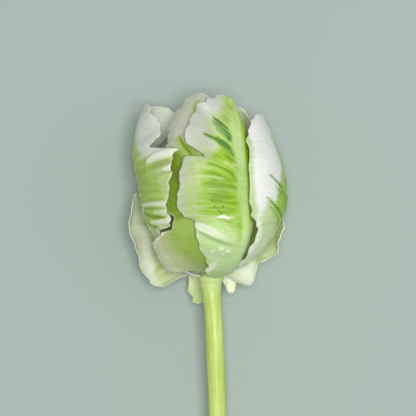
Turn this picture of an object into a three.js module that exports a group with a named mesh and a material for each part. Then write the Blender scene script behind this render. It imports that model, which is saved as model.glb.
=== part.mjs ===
// Parrot tulip: one cut flower with its bud still half closed, laid on a table.
// The bloom is built upright in its own group, stalk down, with its front towards -Y:
// azimuths are counted from that front towards +X. The group is then laid on its back.
// Units are millimetres and degrees.
import * as THREE from 'three';
import { mergeVertices } from 'three/addons/utils/BufferGeometryUtils.js';

// ---- Driving dimensions ----
const PETAL_THICKNESS = 0.75;
const FULL_REACH = 26; // distance from the midrib at which a blade's lift and climb are whole
const RIM = 9; // band along the margin that carries the ruffles
const FOLD_START = 8; // distance from the midrib at which pleats and ruffles reach full height
const ROW_STEP = 3.2; // longest step along a petal
const COLUMNS = 6; // steps from a petal's midrib to its margin
const TIP_HALF_WIDTH = 1.4; // blunt end of a petal
const NORMAL_STEP = 0.02; // step for measuring a blade's slope

const STEM_RADIUS = 3.5;
const STEM_SIDES = 16;
const STEM_STEP = 6;
const CUT_BEVEL = 0.3;
const STEM_ROUTE = [
  [0, 0, 2.7], [0, 0, -4], [0.8, 0, -14], [1.9, 0.2, -35], [2.7, 0.9, -60], [3.2, 2.3, -92],
  [3, 4.9, -132], [2.2, 8.85, -176],
];
// Receptacle at the top of the stem: inner petals sit round its crown, outer ones round its shoulder.
const RECEPTACLE_RINGS = [
  [0, 3.7], [0.3, 4], [1.9, 4], [2.3, 5.2], [3.3, 5.2], [5.5, 4.3], [9, 3.8], [15, STEM_RADIUS],
];

const PISTIL_SIDES = 24;
const PISTIL_ROUTE = [[0, 0, 3], [0, 0, 26.2]];
const PISTIL_RINGS = [
  [0, 1.5], [0.6, 1.9], [4, 2.5], [10, 2.7], [16, 2.3], [18.5, 1.9], [19.6, 2.6], [21, 3.6],
  [22.5, 3.4], [23.2, 2.2],
];
const STIGMA_START = 19;

const STAMEN_COUNT = 6;
const STAMEN_SIDES = 8;
const STAMEN_ROUTE = [[2.95, 0, 3], [3.6, 0, 8.5], [5, 0, 14.5], [6, 0, 27]];
const STAMEN_RINGS = [
  [0, 0.5], [5, 0.5], [10, 0.45], [10.8, 0.9], [12.2, 1.25], [16, 1.3], [20, 1.2], [22.6, 0.8],
  [23.6, 0.3],
];
const ANTHER_START = 10.5;

const HEAD_RISE = 5; // slope of the bloom's axis once it lies down
const REST_HEIGHT = 27.4; // height of the receptacle's centre over the table

const PETAL_GREEN = 0x9fbe62;
const STEM_GREEN = 0xb4c75e;
const PISTIL_GREEN = 0xb9c87a;
const ANTHER_DARK = 0x4a3f52;

// ---- Petals ----
// height and radius: the midrib's stations from claw to tip. azimuth: where it runs round the bloom.
// outline: [height, half width] pairs from claw to tip, which give the lobes and notches of the margin.
// lift: how far the margin stands outward; climb: how far it rises; reach: where both are whole.
// ruffles: [height, wave length, phase, lean]. pleats: [height, lean, half width, height of the ridge].
const PETALS = {
  petal_front: {
    azimuth: [27, 27, 27, 26],
    height: [0, 3, 8, 15, 24, 36, 50, 62, 71.8],
    radius: [5.6, 14.8, 22.2, 27.2, 29.7, 30.2, 27.8, 22.8, 14],
    left: {
      outline: [
        [0, 3.5], [1.6, 7], [2.8, 9.2], [4.2, 9.2], [5.2, 11.2], [8.7, 15.9], [11.6, 18],
        [15.2, 19.4], [21, 20.2], [23.1, 21], [24.8, 25], [28.2, 27.8], [31.9, 27.6], [34.8, 26.3],
        [37.1, 26.8], [41.8, 25], [43.3, 16], [45.6, 23.4], [47.3, 23.5], [51.2, 21.2], [56.8, 17.5],
        [65.7, 10.6], [69, 6],
      ],
      lift: [0, 4, 6, 3.8, 0.8, 0.8, -1.7, -5, -5],
      climb: [0, 2, 6, 8, 0, 2, 10, 13, 10],
      ruffles: [[0.8, 13, 0, 0.3]],
      pleats: [[13.5, 0, 1.6, 1.6], [10, 0, 1.4, 0.8]],
    },
    right: {
      outline: [
        [0, 3.5], [3, 5], [8, 7.5], [13, 13.5], [19, 16], [30, 15], [40, 13], [56, 12.5], [64, 7],
        [69, 3],
      ],
      lift: [0, -4, -9, -9.2, -9.2, -12, -12, -10, -6],
      climb: [0, 0],
      reach: [14, 14, 15, 17.5, 20, 18, 18, 18, 18],
      spread: 0.7,
    },
  },
  petal_right: {
    azimuth: [76, 78, 79, 82],
    height: [1.6, 4.5, 9, 14, 20, 30, 45, 58, 65],
    radius: [4.4, 13, 19.2, 23.5, 26.8, 30.4, 28.6, 23.6, 20.5],
    left: {
      outline: [
        [1.6, 3], [3, 4], [6.5, 9], [12.8, 15.2], [19.1, 18], [21.4, 20.5], [25.3, 26], [30.6, 29],
        [42, 28], [53.2, 24.5], [57, 21], [61.2, 17], [63.5, 12.5],
      ],
      lift: [0, 1.2, 1.6, 2.6, 2.5],
      climb: [0, 0],
      ruffles: [[0.6, 17, 1, 0.2]],
    },
    right: {
      outline: [
        [1.6, 3], [3.2, 7], [5.5, 9], [7.2, 7.5], [10, 12], [20, 20], [34, 26], [46, 24], [58, 15],
        [62, 9],
      ],
      lift: [0, 3, 0.5, -1, -2, -2.5, -3, -3, -2],
      climb: [0, -8, -6, 0, 0, 0, 0, 0, 0],
      reach: [6, 8, 14, 26, 26, 26, 26, 26, 26],
    },
  },
  petal_back_right: {
    azimuth: [146, 146],
    height: [0, 1.2, 4, 9, 16, 25, 37, 50, 62, 69],
    radius: [5.6, 9.8, 16.5, 22.8, 27.6, 30, 30.5, 28, 22.5, 16],
    left: {
      outline: [
        [0, 3.5], [1.2, 4.6], [2.5, 4], [4, 6], [6.5, 14], [10, 22.5], [14, 26.5], [20, 27], [26, 22],
        [31, 24], [38, 22], [41, 16], [46, 19], [52, 14], [58, 9], [65, 5],
      ],
      lift: [0.8, 0, 5.2, 3.4, -0.4, -0.4, -0.3, -0.5, -0.3, 0],
      climb: [-3, -7.5, -1, 0, 0, 0, 0, 0, 0, 0],
      reach: [3.5, 4.5, 20, 26, 26, 26, 26, 26, 26, 26],
      ruffles: [[0.9, 11, 0.5, 0.2]],
    },
    right: {
      outline: [
        [0, 4.5], [1.2, 9.5], [2.6, 16], [4.5, 20], [8, 22.5], [15, 24.5], [26, 27], [33, 25], [36, 19],
        [40, 26], [52, 20], [55, 15], [60, 15], [65, 9],
      ],
      lift: [0, 1, 2, 1.5, 1, 0.8, 0.8, 0.8, 0.5, 0.5],
      climb: [0, -12, -11, -3, 0, 0, 0, 0, 0, 0],
      reach: [8, 10, 20, 26, 26, 26, 26, 26, 26, 26],
      ruffles: [[0.6, 12, 2, 0.2]],
    },
  },
  petal_back_left: {
    azimuth: [-142, -142, -144, -150],
    height: [1.6, 4.5, 9, 15, 24, 36, 50, 62, 69],
    radius: [4.4, 13.4, 20, 25.2, 28, 28.4, 25.8, 20, 14],
    left: {
      outline: [[1.6, 3], [4, 8], [8, 15], [15, 22], [26, 25], [40, 24], [52, 19], [60, 13], [65, 8]],
      lift: [-1, -1, -1.5, -1.5, -1],
      climb: [0, 0],
    },
    right: {
      outline: [
        [1.6, 3], [3.4, 5.5], [4.6, 11], [7, 15.6], [11, 20.5], [16, 26], [22, 27], [30, 26],
        [33, 23], [36, 15.5], [43, 12], [49, 5], [57, 3.6], [62, 3.8], [66, 4.5],
      ],
      lift: [0, 7, 6.5, 5, 4.2, 0.5, -1.5, -1, 0],
      climb: [0, -9, -9, -3, 0, 0, 0, 0, 0],
      reach: [8, 12, 22, 26, 26, 26, 26, 26, 26],
      ruffles: [[0.9, 12, 1, 0.2]],
    },
  },
  petal_left: {
    azimuth: [-66, -73, -80, -80],
    height: [0, 3, 8, 15, 24, 36, 48, 60, 69],
    radius: [5.6, 12.6, 18.4, 22.8, 27.2, 29.3, 31.4, 30, 26.5],
    left: {
      outline: [
        [0, 2.6], [3, 6.5], [8, 13], [15, 18], [24, 19], [36, 20], [39.5, 15], [44, 16], [51, 22],
        [57, 23.5], [61, 22], [65, 23.5], [68, 18.5],
      ],
      lift: [0, -0.5, -1, -2, -2.5, -3, -2.5, -9, -8],
      climb: [0, 0],
    },
    right: {
      outline: [
        [0, 2.6], [8, 6], [13, 8.5], [15.9, 7.7], [18.5, 9.5], [20.8, 18], [23, 20], [26, 20.4],
        [30.7, 22], [36.4, 24.7], [41.8, 27.5], [47.6, 29.2], [50, 31.4], [51.4, 16], [53.3, 18.6],
        [56, 20.6], [59.6, 17.7], [62.3, 14.9], [65.7, 8.6],
      ],
      lift: [0, -2, 0.2, 0, -6],
      climb: [0, 0],
      ruffles: [[0.8, 9, 1, 0]],
      pleats: [[22, 0, 1.2, 1.2], [25.5, 0, 1.2, 1.2], [29, 0, 1.2, 1.4]],
    },
  },
  petal_front_left: {
    azimuth: [-24, -22, -22, -28, -32],
    height: [1.6, 4.5, 9, 15, 22, 34, 50, 64, 73],
    radius: [4.4, 13.2, 20.6, 25, 26.8, 26.3, 24, 18, 10],
    left: {
      outline: [
        [1.6, 2.6], [3.6, 4], [5.2, 12], [8, 15], [13.7, 17.6], [17.6, 12], [19.5, 6], [24, 4.8],
        [28, 14], [40, 16], [47, 10], [53, 8], [58.8, 8.6], [64, 7], [69, 4.6],
      ],
      lift: [0, 4, 2.8, 1.8, 0, -1, -1, -1, -1],
      climb: [0, -2.5, -1.5, 0, 0, 0, 0, 1, 2],
      reach: [8, 12, 18, 26, 26, 26, 26, 26, 26],
    },
    right: {
      outline: [[1.6, 3], [4, 9], [8, 13], [15, 18], [30, 20], [50, 15], [62, 11], [69, 7]],
      lift: [0, -0.8, -1.2, -1.5, -1],
      climb: [0, 0],
    },
  },
};

// ---- Small helpers ----
const ease = (x) => THREE.MathUtils.smoothstep(x, 0, 1);

// Value at t (0 to 1) of a smooth curve through evenly spaced stations.
function along(stations, t) {
  const last = stations.length - 1;
  const place = THREE.MathUtils.clamp(t, 0, 1) * last;
  const index = Math.min(Math.floor(place), last);
  const before = stations[Math.max(index - 1, 0)];
  const here = stations[index];
  const next = stations[Math.min(index + 1, last)];
  const beyond = stations[Math.min(index + 2, last)];
  const f = place - index;
  const slopeIn = (next - before) / 2;
  const slopeOut = (beyond - here) / 2;
  const cubic = 2 * here - 2 * next + slopeIn + slopeOut;
  const square = -3 * here + 3 * next - 2 * slopeIn - slopeOut;
  return cubic * f ** 3 + square * f ** 2 + slopeIn * f + here;
}

// Half width of a blade at a height on its midrib; past the outline it closes as an ellipse.
function halfWidth(outline, tip, height) {
  const [lastHeight, lastWidth] = outline[outline.length - 1];
  if (height > lastHeight) {
    const e = THREE.MathUtils.clamp((height - lastHeight) / (tip - lastHeight), 0, 1);
    return Math.max(lastWidth * Math.sqrt(1 - e * e), TIP_HALF_WIDTH);
  }
  let k = 0;
  while (k < outline.length - 2 && outline[k + 1][0] < height) k += 1;
  const [h0, w0] = outline[k];
  const [h1, w1] = outline[k + 1];
  return w0 + (w1 - w0) * ease((height - h0) / (h1 - h0));
}

// Parameter t at which a petal's midrib reaches a height.
function reachHeight(petal, height) {
  let low = 0;
  let high = 1;
  for (let i = 0; i < 40; i += 1) {
    const middle = (low + high) / 2;
    if (along(petal.height, middle) < height) low = middle;
    else high = middle;
  }
  return (low + high) / 2;
}

// Point on a blade's middle surface: t from claw to tip, d out from the midrib on side -1 or +1.
function bladePoint(petal, t, side, d, width) {
  const half = side < 0 ? petal.left : petal.right;
  const share = ease(d / along(half.reach ?? [FULL_REACH, FULL_REACH], t));
  const height = along(petal.height, t);
  const rib = along(petal.radius, t);
  const lift = along(half.lift, t) * share;
  const fold = ease(d / FOLD_START);
  const rim = 1 - ease((width - d) / RIM);
  let radius = rib + lift;
  for (const [swell, wave, phase, lean] of half.ruffles ?? []) {
    const wavePlace = (2 * Math.PI * (height + lean * d)) / wave + phase;
    radius += swell * rim * fold * (0.5 + 0.5 * Math.sin(wavePlace));
  }
  for (const [base, lean, spread, ridge] of half.pleats ?? []) {
    radius += ridge * fold * Math.exp(-(((height - base - lean * d) / spread) ** 2));
  }
  const turn = (side * d * (half.spread ?? 1)) / (rib + lift / 2);
  const azimuth = THREE.MathUtils.degToRad(along(petal.azimuth, t)) + turn;
  const z = height + along(half.climb, t) * share;
  return new THREE.Vector3(radius * Math.sin(azimuth), -radius * Math.cos(azimuth), z);
}

// Outward normal of a blade's middle surface.
function bladeNormal(petal, t, side, d, width) {
  const near = Math.max(d - NORMAL_STEP, 0);
  const low = Math.max(t - NORMAL_STEP / 10, 0);
  const high = Math.min(t + NORMAL_STEP / 10, 1);
  const across = bladePoint(petal, t, side, d + NORMAL_STEP, width);
  across.sub(bladePoint(petal, t, side, near, width));
  const upward = bladePoint(petal, high, side, d, width);
  upward.sub(bladePoint(petal, low, side, d, width));
  return across.multiplyScalar(side).cross(upward).normalize();
}

// The table in the bloom's own frame: a point closer to it than clearance is pushed up off it.
const headRise = THREE.MathUtils.degToRad(HEAD_RISE);
const tableUp = new THREE.Vector3(0, -Math.cos(headRise), Math.sin(headRise));
function pressOnTable(point, clearance) {
  const height = point.dot(tableUp) + REST_HEIGHT;
  return height < clearance ? point.addScaledVector(tableUp, clearance - height) : point;
}

// Closed solid between two grids of points that share their rows and columns.
function solidFromGrids(outer, inner) {
  const rows = outer.length;
  const columns = outer[0].length;
  const points = [...outer.flat(), ...inner.flat()];
  const count = rows * columns;
  const index = [];
  const quad = (a, b, c, d) => index.push(a, b, c, a, c, d);
  for (let i = 0; i + 1 < rows; i += 1) {
    for (let j = 0; j + 1 < columns; j += 1) {
      const a = i * columns + j;
      const b = a + 1;
      const c = b + columns;
      const d = a + columns;
      index.push(a, b, c, a, c, d);
      index.push(count + a, count + c, count + b, count + a, count + d, count + c);
    }
    const left = i * columns;
    const right = left + columns - 1;
    quad(left, left + columns, count + left + columns, count + left);
    quad(right, count + right, count + right + columns, right + columns);
  }
  const top = (rows - 1) * columns;
  for (let j = 0; j + 1 < columns; j += 1) {
    quad(j, count + j, count + j + 1, j + 1);
    quad(top + j, top + j + 1, count + top + j + 1, count + top + j);
  }
  const geometry = new THREE.BufferGeometry().setFromPoints(points);
  geometry.setIndex(index);
  geometry.computeVertexNormals();
  return geometry;
}

// Heights of a blade's rows: every corner of its outline, with steps no longer than ROW_STEP between.
function rowHeights(petal) {
  const tip = petal.height[petal.height.length - 1];
  const corners = [...petal.left.outline, ...petal.right.outline].map(([height]) => height);
  const fixed = [...new Set([...corners, petal.height[0], tip])].sort((a, b) => a - b);
  const heights = [fixed[0]];
  for (const height of fixed.slice(1)) {
    const from = heights[heights.length - 1];
    if (height - from < 0.7 && height < tip) continue;
    const steps = Math.ceil((height - from) / ROW_STEP);
    for (let k = 1; k <= steps; k += 1) heights.push(from + ((height - from) * k) / steps);
  }
  return heights;
}

function makePetal(petal) {
  const tip = petal.height[petal.height.length - 1];
  const outer = [];
  const inner = [];
  for (const height of rowHeights(petal)) {
    const t = reachHeight(petal, height);
    const outerRow = [];
    const innerRow = [];
    for (let column = -COLUMNS; column <= COLUMNS; column += 1) {
      const side = column < 0 ? -1 : 1;
      const half = side < 0 ? petal.left : petal.right;
      const width = halfWidth(half.outline, tip, height);
      const d = (Math.abs(column) / COLUMNS) * width;
      const middle = bladePoint(petal, t, side, d, width);
      const normal = bladeNormal(petal, t, side, d, width);
      const face = middle.clone().addScaledVector(normal, PETAL_THICKNESS / 2);
      const back = middle.clone().addScaledVector(normal, -PETAL_THICKNESS / 2);
      outerRow.push(pressOnTable(face, 0));
      innerRow.push(pressOnTable(back, PETAL_THICKNESS));
    }
    outer.push(outerRow);
    inner.push(innerRow);
  }
  return solidFromGrids(outer, inner);
}

const makeCurve = (route) => new THREE.CatmullRomCurve3(route.map((point) => new THREE.Vector3(...point)));

// Round body along a route: rings are [distance from its start, radius]; flute scales the radius round it.
function makeRod(route, rings, sides, flute = () => 1) {
  const curve = makeCurve(route);
  const length = curve.getLength();
  const geometry = new THREE.CylinderGeometry(1, 1, 1, sides, rings.length - 1);
  const position = geometry.attributes.position;
  for (let i = 0; i < position.count; i += 1) {
    const row = Math.round((0.5 - position.getY(i)) * (rings.length - 1));
    const [distance, ringRadius] = rings[row];
    const share = Math.min(distance / length, 1);
    const centre = curve.getPointAt(share);
    const tangent = curve.getTangentAt(share);
    const sideways = new THREE.Vector3(0, 1, 0).cross(tangent).normalize();
    const forward = tangent.clone().cross(sideways);
    const angle = Math.atan2(position.getZ(i), position.getX(i));
    const radius = Math.hypot(position.getX(i), position.getZ(i)) * ringRadius * flute(angle, distance);
    centre.addScaledVector(sideways, radius * Math.cos(angle));
    centre.addScaledVector(forward, radius * Math.sin(angle));
    pressOnTable(centre, 0);
    position.setXYZ(i, centre.x, centre.y, centre.z);
  }
  geometry.deleteAttribute('normal');
  geometry.deleteAttribute('uv');
  const joined = mergeVertices(geometry);
  joined.computeVertexNormals();
  return joined;
}

// ---- Stem with the receptacle that carries the bloom ----
function makeStem() {
  const length = makeCurve(STEM_ROUTE).getLength();
  const rings = [...RECEPTACLE_RINGS];
  const start = rings[rings.length - 1][0];
  const steps = Math.ceil((length - CUT_BEVEL - start) / STEM_STEP);
  for (let k = 1; k <= steps; k += 1) {
    rings.push([start + ((length - CUT_BEVEL - start) * k) / steps, STEM_RADIUS]);
  }
  rings.push([length, STEM_RADIUS - CUT_BEVEL]);
  return makeRod(STEM_ROUTE, rings, STEM_SIDES);
}

// ---- Ovary with its three-lobed stigma, and the stamens round it ----
function makePistil() {
  const flute = (angle, distance) => 1 + (distance > STIGMA_START ? 0.26 : 0.08) * Math.cos(3 * angle);
  return makeRod(PISTIL_ROUTE, PISTIL_RINGS, PISTIL_SIDES, flute);
}

function makeStamen() {
  const flute = (angle, distance) => 1 + (distance > ANTHER_START ? 0.2 : 0) * Math.cos(2 * angle);
  return makeRod(STAMEN_ROUTE, STAMEN_RINGS, STAMEN_SIDES, flute);
}

// ---- Assembly ----
function addPiece(parent, name, geometry, color, roughness) {
  const mesh = new THREE.Mesh(geometry, new THREE.MeshStandardMaterial({ color, roughness, metalness: 0 }));
  mesh.name = name;
  parent.add(mesh);
  return mesh;
}

const bloom = new THREE.Group();
bloom.rotation.x = headRise - Math.PI / 2;
bloom.position.z = REST_HEIGHT;

addPiece(bloom, 'stem', makeStem(), STEM_GREEN, 0.5);
for (const [name, petal] of Object.entries(PETALS)) {
  addPiece(bloom, name, makePetal(petal), PETAL_GREEN, 0.55);
}
addPiece(bloom, 'pistil', makePistil(), PISTIL_GREEN, 0.6);
for (let k = 0; k < STAMEN_COUNT; k += 1) {
  const stamen = addPiece(bloom, `stamen_${k + 1}`, makeStamen(), ANTHER_DARK, 0.8);
  stamen.rotation.z = (2 * Math.PI * k) / STAMEN_COUNT;
}

// The origin is the middle of the flower's footprint, on the table.
const tulip = new THREE.Group();
tulip.add(bloom);
tulip.updateMatrixWorld(true);
const middle = new THREE.Box3().setFromObject(tulip, true).getCenter(new THREE.Vector3());
bloom.position.x -= middle.x;
bloom.position.y -= middle.y;
tulip.updateMatrixWorld(true);

export default tulip;
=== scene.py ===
"""Parrot tulip, lying on a table: fine petals, stem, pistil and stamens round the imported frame.

The bloom is shaped upright in millimetres, stalk down and front towards -Y, and then laid on its back
into the frame's own place. Across a petal, distances are counted from its midrib: left is negative.
"""

import math

import bpy
import numpy as np
from bpy.props import FloatProperty, FloatVectorProperty, PointerProperty
from mathutils import Matrix, Vector


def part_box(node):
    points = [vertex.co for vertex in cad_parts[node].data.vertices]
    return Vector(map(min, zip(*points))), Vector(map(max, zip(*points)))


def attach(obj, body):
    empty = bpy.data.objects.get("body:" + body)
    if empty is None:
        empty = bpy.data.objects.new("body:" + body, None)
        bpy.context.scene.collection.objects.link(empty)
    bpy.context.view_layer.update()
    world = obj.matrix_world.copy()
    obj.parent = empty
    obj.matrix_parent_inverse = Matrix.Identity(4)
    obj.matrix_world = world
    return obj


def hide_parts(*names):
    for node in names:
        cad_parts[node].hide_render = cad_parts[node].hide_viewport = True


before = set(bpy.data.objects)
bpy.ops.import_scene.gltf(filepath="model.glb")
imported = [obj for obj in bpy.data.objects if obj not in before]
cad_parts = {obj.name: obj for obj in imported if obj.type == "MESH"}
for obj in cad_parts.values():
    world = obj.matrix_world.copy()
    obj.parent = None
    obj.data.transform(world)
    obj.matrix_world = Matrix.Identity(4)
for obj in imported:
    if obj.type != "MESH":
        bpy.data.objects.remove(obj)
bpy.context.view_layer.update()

bl_info = {
    "name": "Parrot tulip",
    "version": (1, 0, 0),
    "blender": (4, 5, 0),
    "location": "3D View > Sidebar > Tulip",
    "description": "Builds a cut parrot tulip with fine petals, stem, pistil and stamens",
    "category": "Add Mesh",
}

MM = 0.001


def srgb(red, green, blue):
    """Scene-linear colour of a screen colour given as 0 to 255."""
    parts = [channel / 255 for channel in (red, green, blue)]
    return tuple(c / 12.92 if c <= 0.04045 else ((c + 0.055) / 1.055) ** 2.4 for c in parts)


# ---- The bloom's place in the frame, mm ----
HEAD_RISE = math.radians(5)
STEM_TOP_HEIGHT = 2.7
SHOULDER = (5.2, 0.4)  # radius of the receptacle's widest ring, and its height
CROWN = (3.7, 2.7)  # radius of the receptacle's first ring, and its height
RISE_COS = math.cos(HEAD_RISE)
RISE_SIN = math.sin(HEAD_RISE)


def find_bloom_origin():
    """Receptacle's centre in the frame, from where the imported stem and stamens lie."""
    stem_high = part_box("stem")[1] / MM
    sides = [sum(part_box(name), Vector()).x / 2 / MM for name in ("stamen_1", "stamen_4")]
    x = sum(sides) / 2
    y = stem_high.y - (CROWN[1] * RISE_COS + CROWN[0] * RISE_SIN)
    z = stem_high.z - (SHOULDER[0] * RISE_COS + SHOULDER[1] * RISE_SIN)
    return np.array([x, y, z])


BLOOM_ORIGIN = find_bloom_origin()
TABLE_UP = np.array([0, -RISE_COS, RISE_SIN])
FRAME_UP = np.array([0, RISE_COS, RISE_SIN])
FRAME_OUT = np.array([0, RISE_SIN, -RISE_COS])


def to_frame(points):
    """Points of the upright bloom, laid down in the frame, in metres."""
    x = points[..., 0]
    y = points[..., 1] * RISE_SIN + points[..., 2] * RISE_COS
    z = -points[..., 1] * RISE_COS + points[..., 2] * RISE_SIN
    return (np.stack([x, y, z], -1) + BLOOM_ORIGIN) * MM


def press_on_table(points, clearance):
    """Push points of the upright bloom that lie closer to the table than clearance up off it."""
    height = points @ TABLE_UP + BLOOM_ORIGIN[2]
    short = np.maximum(clearance - height, 0)
    return points + short[..., None] * TABLE_UP


# ---- Petal forms, mm and degrees ----
# height and radius: the midrib's stations from claw to tip. azimuth: where it runs round the bloom.
# outline: [height, half width] from claw to tip. lift: how far the margin stands outward; climb: how far
# it rises; reach: distance across at which both are whole. ruffles: [swell, wave length, phase, lean].
# pleats: [height on the petal, lean, half width, swell]. spread: share of the turn round the bloom.
# veins: how far the veins climb, low and high on the petal. frill: share of the margin's teeth and curl.
FULL_REACH = 26
RIM = 9  # distance from the margin over which ruffles fade
FOLD_START = 8  # distance from the midrib over which folds grow

PETALS = {
    "petal_front": {
        "azimuth": [27, 27, 27, 26],
        "height": [0, 3, 8, 15, 24, 36, 50, 62, 71.8],
        "radius": [5.6, 14.8, 22.2, 27.2, 29.7, 30.2, 27.8, 22.8, 14],
        "left": {
            "outline": [
                [0, 3.5], [1.6, 7], [2.8, 9.2], [4.2, 9.2], [5.2, 11.2], [8.7, 15.9], [11.6, 18],
                [15.2, 19.4], [21, 20.2], [23.1, 21], [24.8, 25], [28.2, 27.8], [31.9, 27.6],
                [34.8, 26.3], [37.1, 26.8], [41.8, 25], [43.3, 16], [45.6, 23.4], [47.3, 23.5],
                [51.2, 21.2], [56.8, 17.5], [65.7, 10.6], [69, 6],
            ],
            "lift": [0, 4, 6, 3.8, 0.8, 0.8, -1.7, -5, -5],
            "climb": [0, 2, 6, 8, 0, 2, 10, 13, 10],
            "ruffles": [[0.8, 13, 0, 0.3]],
            "pleats": [[13.5, 0, 1.6, 1.6], [10, 0, 1.4, 0.8]],
        },
        "right": {
            "outline": [
                [0, 3.5], [3, 5], [8, 7.5], [13, 13.5], [19, 16], [30, 15], [40, 13], [56, 12.5],
                [64, 7], [69, 3],
            ],
            "lift": [0, -4, -9, -9.2, -9.2, -12, -12, -10, -6],
            "climb": [0, 0],
            "reach": [14, 14, 15, 17.5, 20, 18, 18, 18, 18],
            "spread": 0.7,
        },
        "veins": [1.5, 7],
    },
    "petal_right": {
        "azimuth": [76, 78, 79, 82],
        "height": [1.6, 4.5, 9, 14, 20, 30, 45, 58, 65],
        "radius": [4.4, 13, 19.2, 23.5, 26.8, 30.4, 28.6, 23.6, 20.5],
        "left": {
            "outline": [
                [1.6, 3], [3, 4], [6.5, 9], [12.8, 15.2], [19.1, 18], [21.4, 20.5], [25.3, 26],
                [30.6, 29], [42, 28], [53.2, 24.5], [57, 21], [61.2, 17], [63.5, 12.5],
            ],
            "lift": [0, 1.2, 1.6, 2.6, 2.5],
            "climb": [0, 0],
            "ruffles": [[0.6, 17, 1, 0.2]],
        },
        "right": {
            "outline": [
                [1.6, 3], [3.2, 7], [5.5, 9], [7.2, 7.5], [10, 12], [20, 20], [34, 26], [46, 24],
                [58, 15], [62, 9],
            ],
            "lift": [0, 3, 0.5, -1, -2, -2.5, -3, -3, -2],
            "climb": [0, -8, -6, 0, 0, 0, 0, 0, 0],
            "reach": [6, 8, 14, 26, 26, 26, 26, 26, 26],
        },
        "veins": [4, 8],
        "frill": 0.3,
    },
    "petal_back_right": {
        "azimuth": [146, 146],
        "height": [0, 1.2, 4, 9, 16, 25, 37, 50, 62, 69],
        "radius": [5.6, 9.8, 16.5, 22.8, 27.6, 30, 30.5, 28, 22.5, 16],
        "left": {
            "outline": [
                [0, 3.5], [1.2, 4.6], [2.5, 4], [4, 6], [6.5, 14], [10, 22.5], [14, 26.5], [20, 27],
                [26, 22], [31, 24], [38, 22], [41, 16], [46, 19], [52, 14], [58, 9], [65, 5],
            ],
            "lift": [0.8, 0, 5.2, 3.4, -0.4, -0.4, -0.3, -0.5, -0.3, 0],
            "climb": [-3, -7.5, -1, 0, 0, 0, 0, 0, 0, 0],
            "reach": [3.5, 4.5, 20, 26, 26, 26, 26, 26, 26, 26],
            "ruffles": [[0.9, 11, 0.5, 0.2]],
        },
        "right": {
            "outline": [
                [0, 4.5], [1.2, 9.5], [2.6, 16], [4.5, 20], [8, 22.5], [15, 24.5], [26, 27], [33, 25],
                [36, 19], [40, 26], [52, 20], [55, 15], [60, 15], [65, 9],
            ],
            "lift": [0, 1, 2, 1.5, 1, 0.8, 0.8, 0.8, 0.5, 0.5],
            "climb": [0, -12, -11, -3, 0, 0, 0, 0, 0, 0],
            "reach": [8, 10, 20, 26, 26, 26, 26, 26, 26, 26],
            "ruffles": [[0.6, 12, 2, 0.2]],
        },
        "veins": [3, 8],
    },
    "petal_back_left": {
        "azimuth": [-142, -142, -144, -150],
        "height": [1.6, 4.5, 9, 15, 24, 36, 50, 62, 69],
        "radius": [4.4, 13.4, 20, 25.2, 28, 28.4, 25.8, 20, 14],
        "left": {
            "outline": [
                [1.6, 3], [4, 8], [8, 15], [15, 22], [26, 25], [40, 24], [52, 19], [60, 13], [65, 8],
            ],
            "lift": [-1, -1, -1.5, -1.5, -1],
            "climb": [0, 0],
        },
        "right": {
            "outline": [
                [1.6, 3], [3.4, 5.5], [4.6, 11], [7, 15.6], [11, 20.5], [16, 26], [22, 27], [30, 26],
                [33, 23], [36, 15.5], [43, 12], [49, 5], [57, 3.6], [62, 3.8], [66, 4.5],
            ],
            "lift": [0, 7, 6.5, 5, 4.2, 0.5, -1.5, -1, 0],
            "climb": [0, -9, -9, -3, 0, 0, 0, 0, 0],
            "reach": [8, 12, 22, 26, 26, 26, 26, 26, 26],
            "ruffles": [[0.9, 12, 1, 0.2]],
        },
        "veins": [3, 8],
    },
    "petal_left": {
        "azimuth": [-66, -73, -80, -80],
        "height": [0, 3, 8, 15, 24, 36, 48, 60, 69],
        "radius": [5.6, 12.6, 18.4, 22.8, 27.2, 29.3, 31.4, 30, 26.5],
        "left": {
            "outline": [
                [0, 2.6], [3, 6.5], [8, 13], [15, 18], [24, 19], [36, 20], [39.5, 15], [44, 16],
                [51, 22], [57, 23.5], [61, 22], [65, 23.5], [68, 18.5],
            ],
            "lift": [0, -0.5, -1, -2, -2.5, -3, -2.5, -9, -8],
            "climb": [0, 0],
        },
        "right": {
            "outline": [
                [0, 2.6], [8, 6], [13, 8.5], [15.9, 7.7], [18.5, 9.5], [20.8, 18], [23, 20], [26, 20.4],
                [30.7, 22], [36.4, 24.7], [41.8, 27.5], [47.6, 29.2], [50, 31.4], [51.4, 16],
                [53.3, 18.6], [56, 20.6], [59.6, 17.7], [62.3, 14.9], [65.7, 8.6],
            ],
            "lift": [0, -2, 0.2, 0, -6],
            "climb": [0, 0],
            "ruffles": [[0.8, 9, 1, 0]],
            "pleats": [[22, 0, 1.2, 1.2], [25.5, 0, 1.2, 1.2], [29, 0, 1.2, 1.4]],
        },
        "veins": [1, 8],
    },
    "petal_front_left": {
        "azimuth": [-24, -22, -22, -28, -32],
        "height": [1.6, 4.5, 9, 15, 22, 34, 50, 64, 73],
        "radius": [4.4, 13.2, 20.6, 25, 26.8, 26.3, 24, 18, 10],
        "left": {
            "outline": [
                [1.6, 2.6], [3.6, 4], [5.2, 12], [8, 15], [13.7, 17.6], [17.6, 12], [19.5, 6],
                [24, 4.8], [28, 14], [40, 16], [47, 10], [53, 8], [58.8, 8.6], [64, 7], [69, 4.6],
            ],
            "lift": [0, 4, 2.8, 1.8, 0, -1, -1, -1, -1],
            "climb": [0, -2.5, -1.5, 0, 0, 0, 0, 1, 2],
            "reach": [8, 12, 18, 26, 26, 26, 26, 26, 26],
        },
        "right": {
            "outline": [[1.6, 3], [4, 9], [8, 13], [15, 18], [30, 20], [50, 15], [62, 11], [69, 7]],
            "lift": [0, -0.8, -1.2, -1.5, -1],
            "climb": [0, 0],
        },
        "veins": [3, 9],
    },
}

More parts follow.
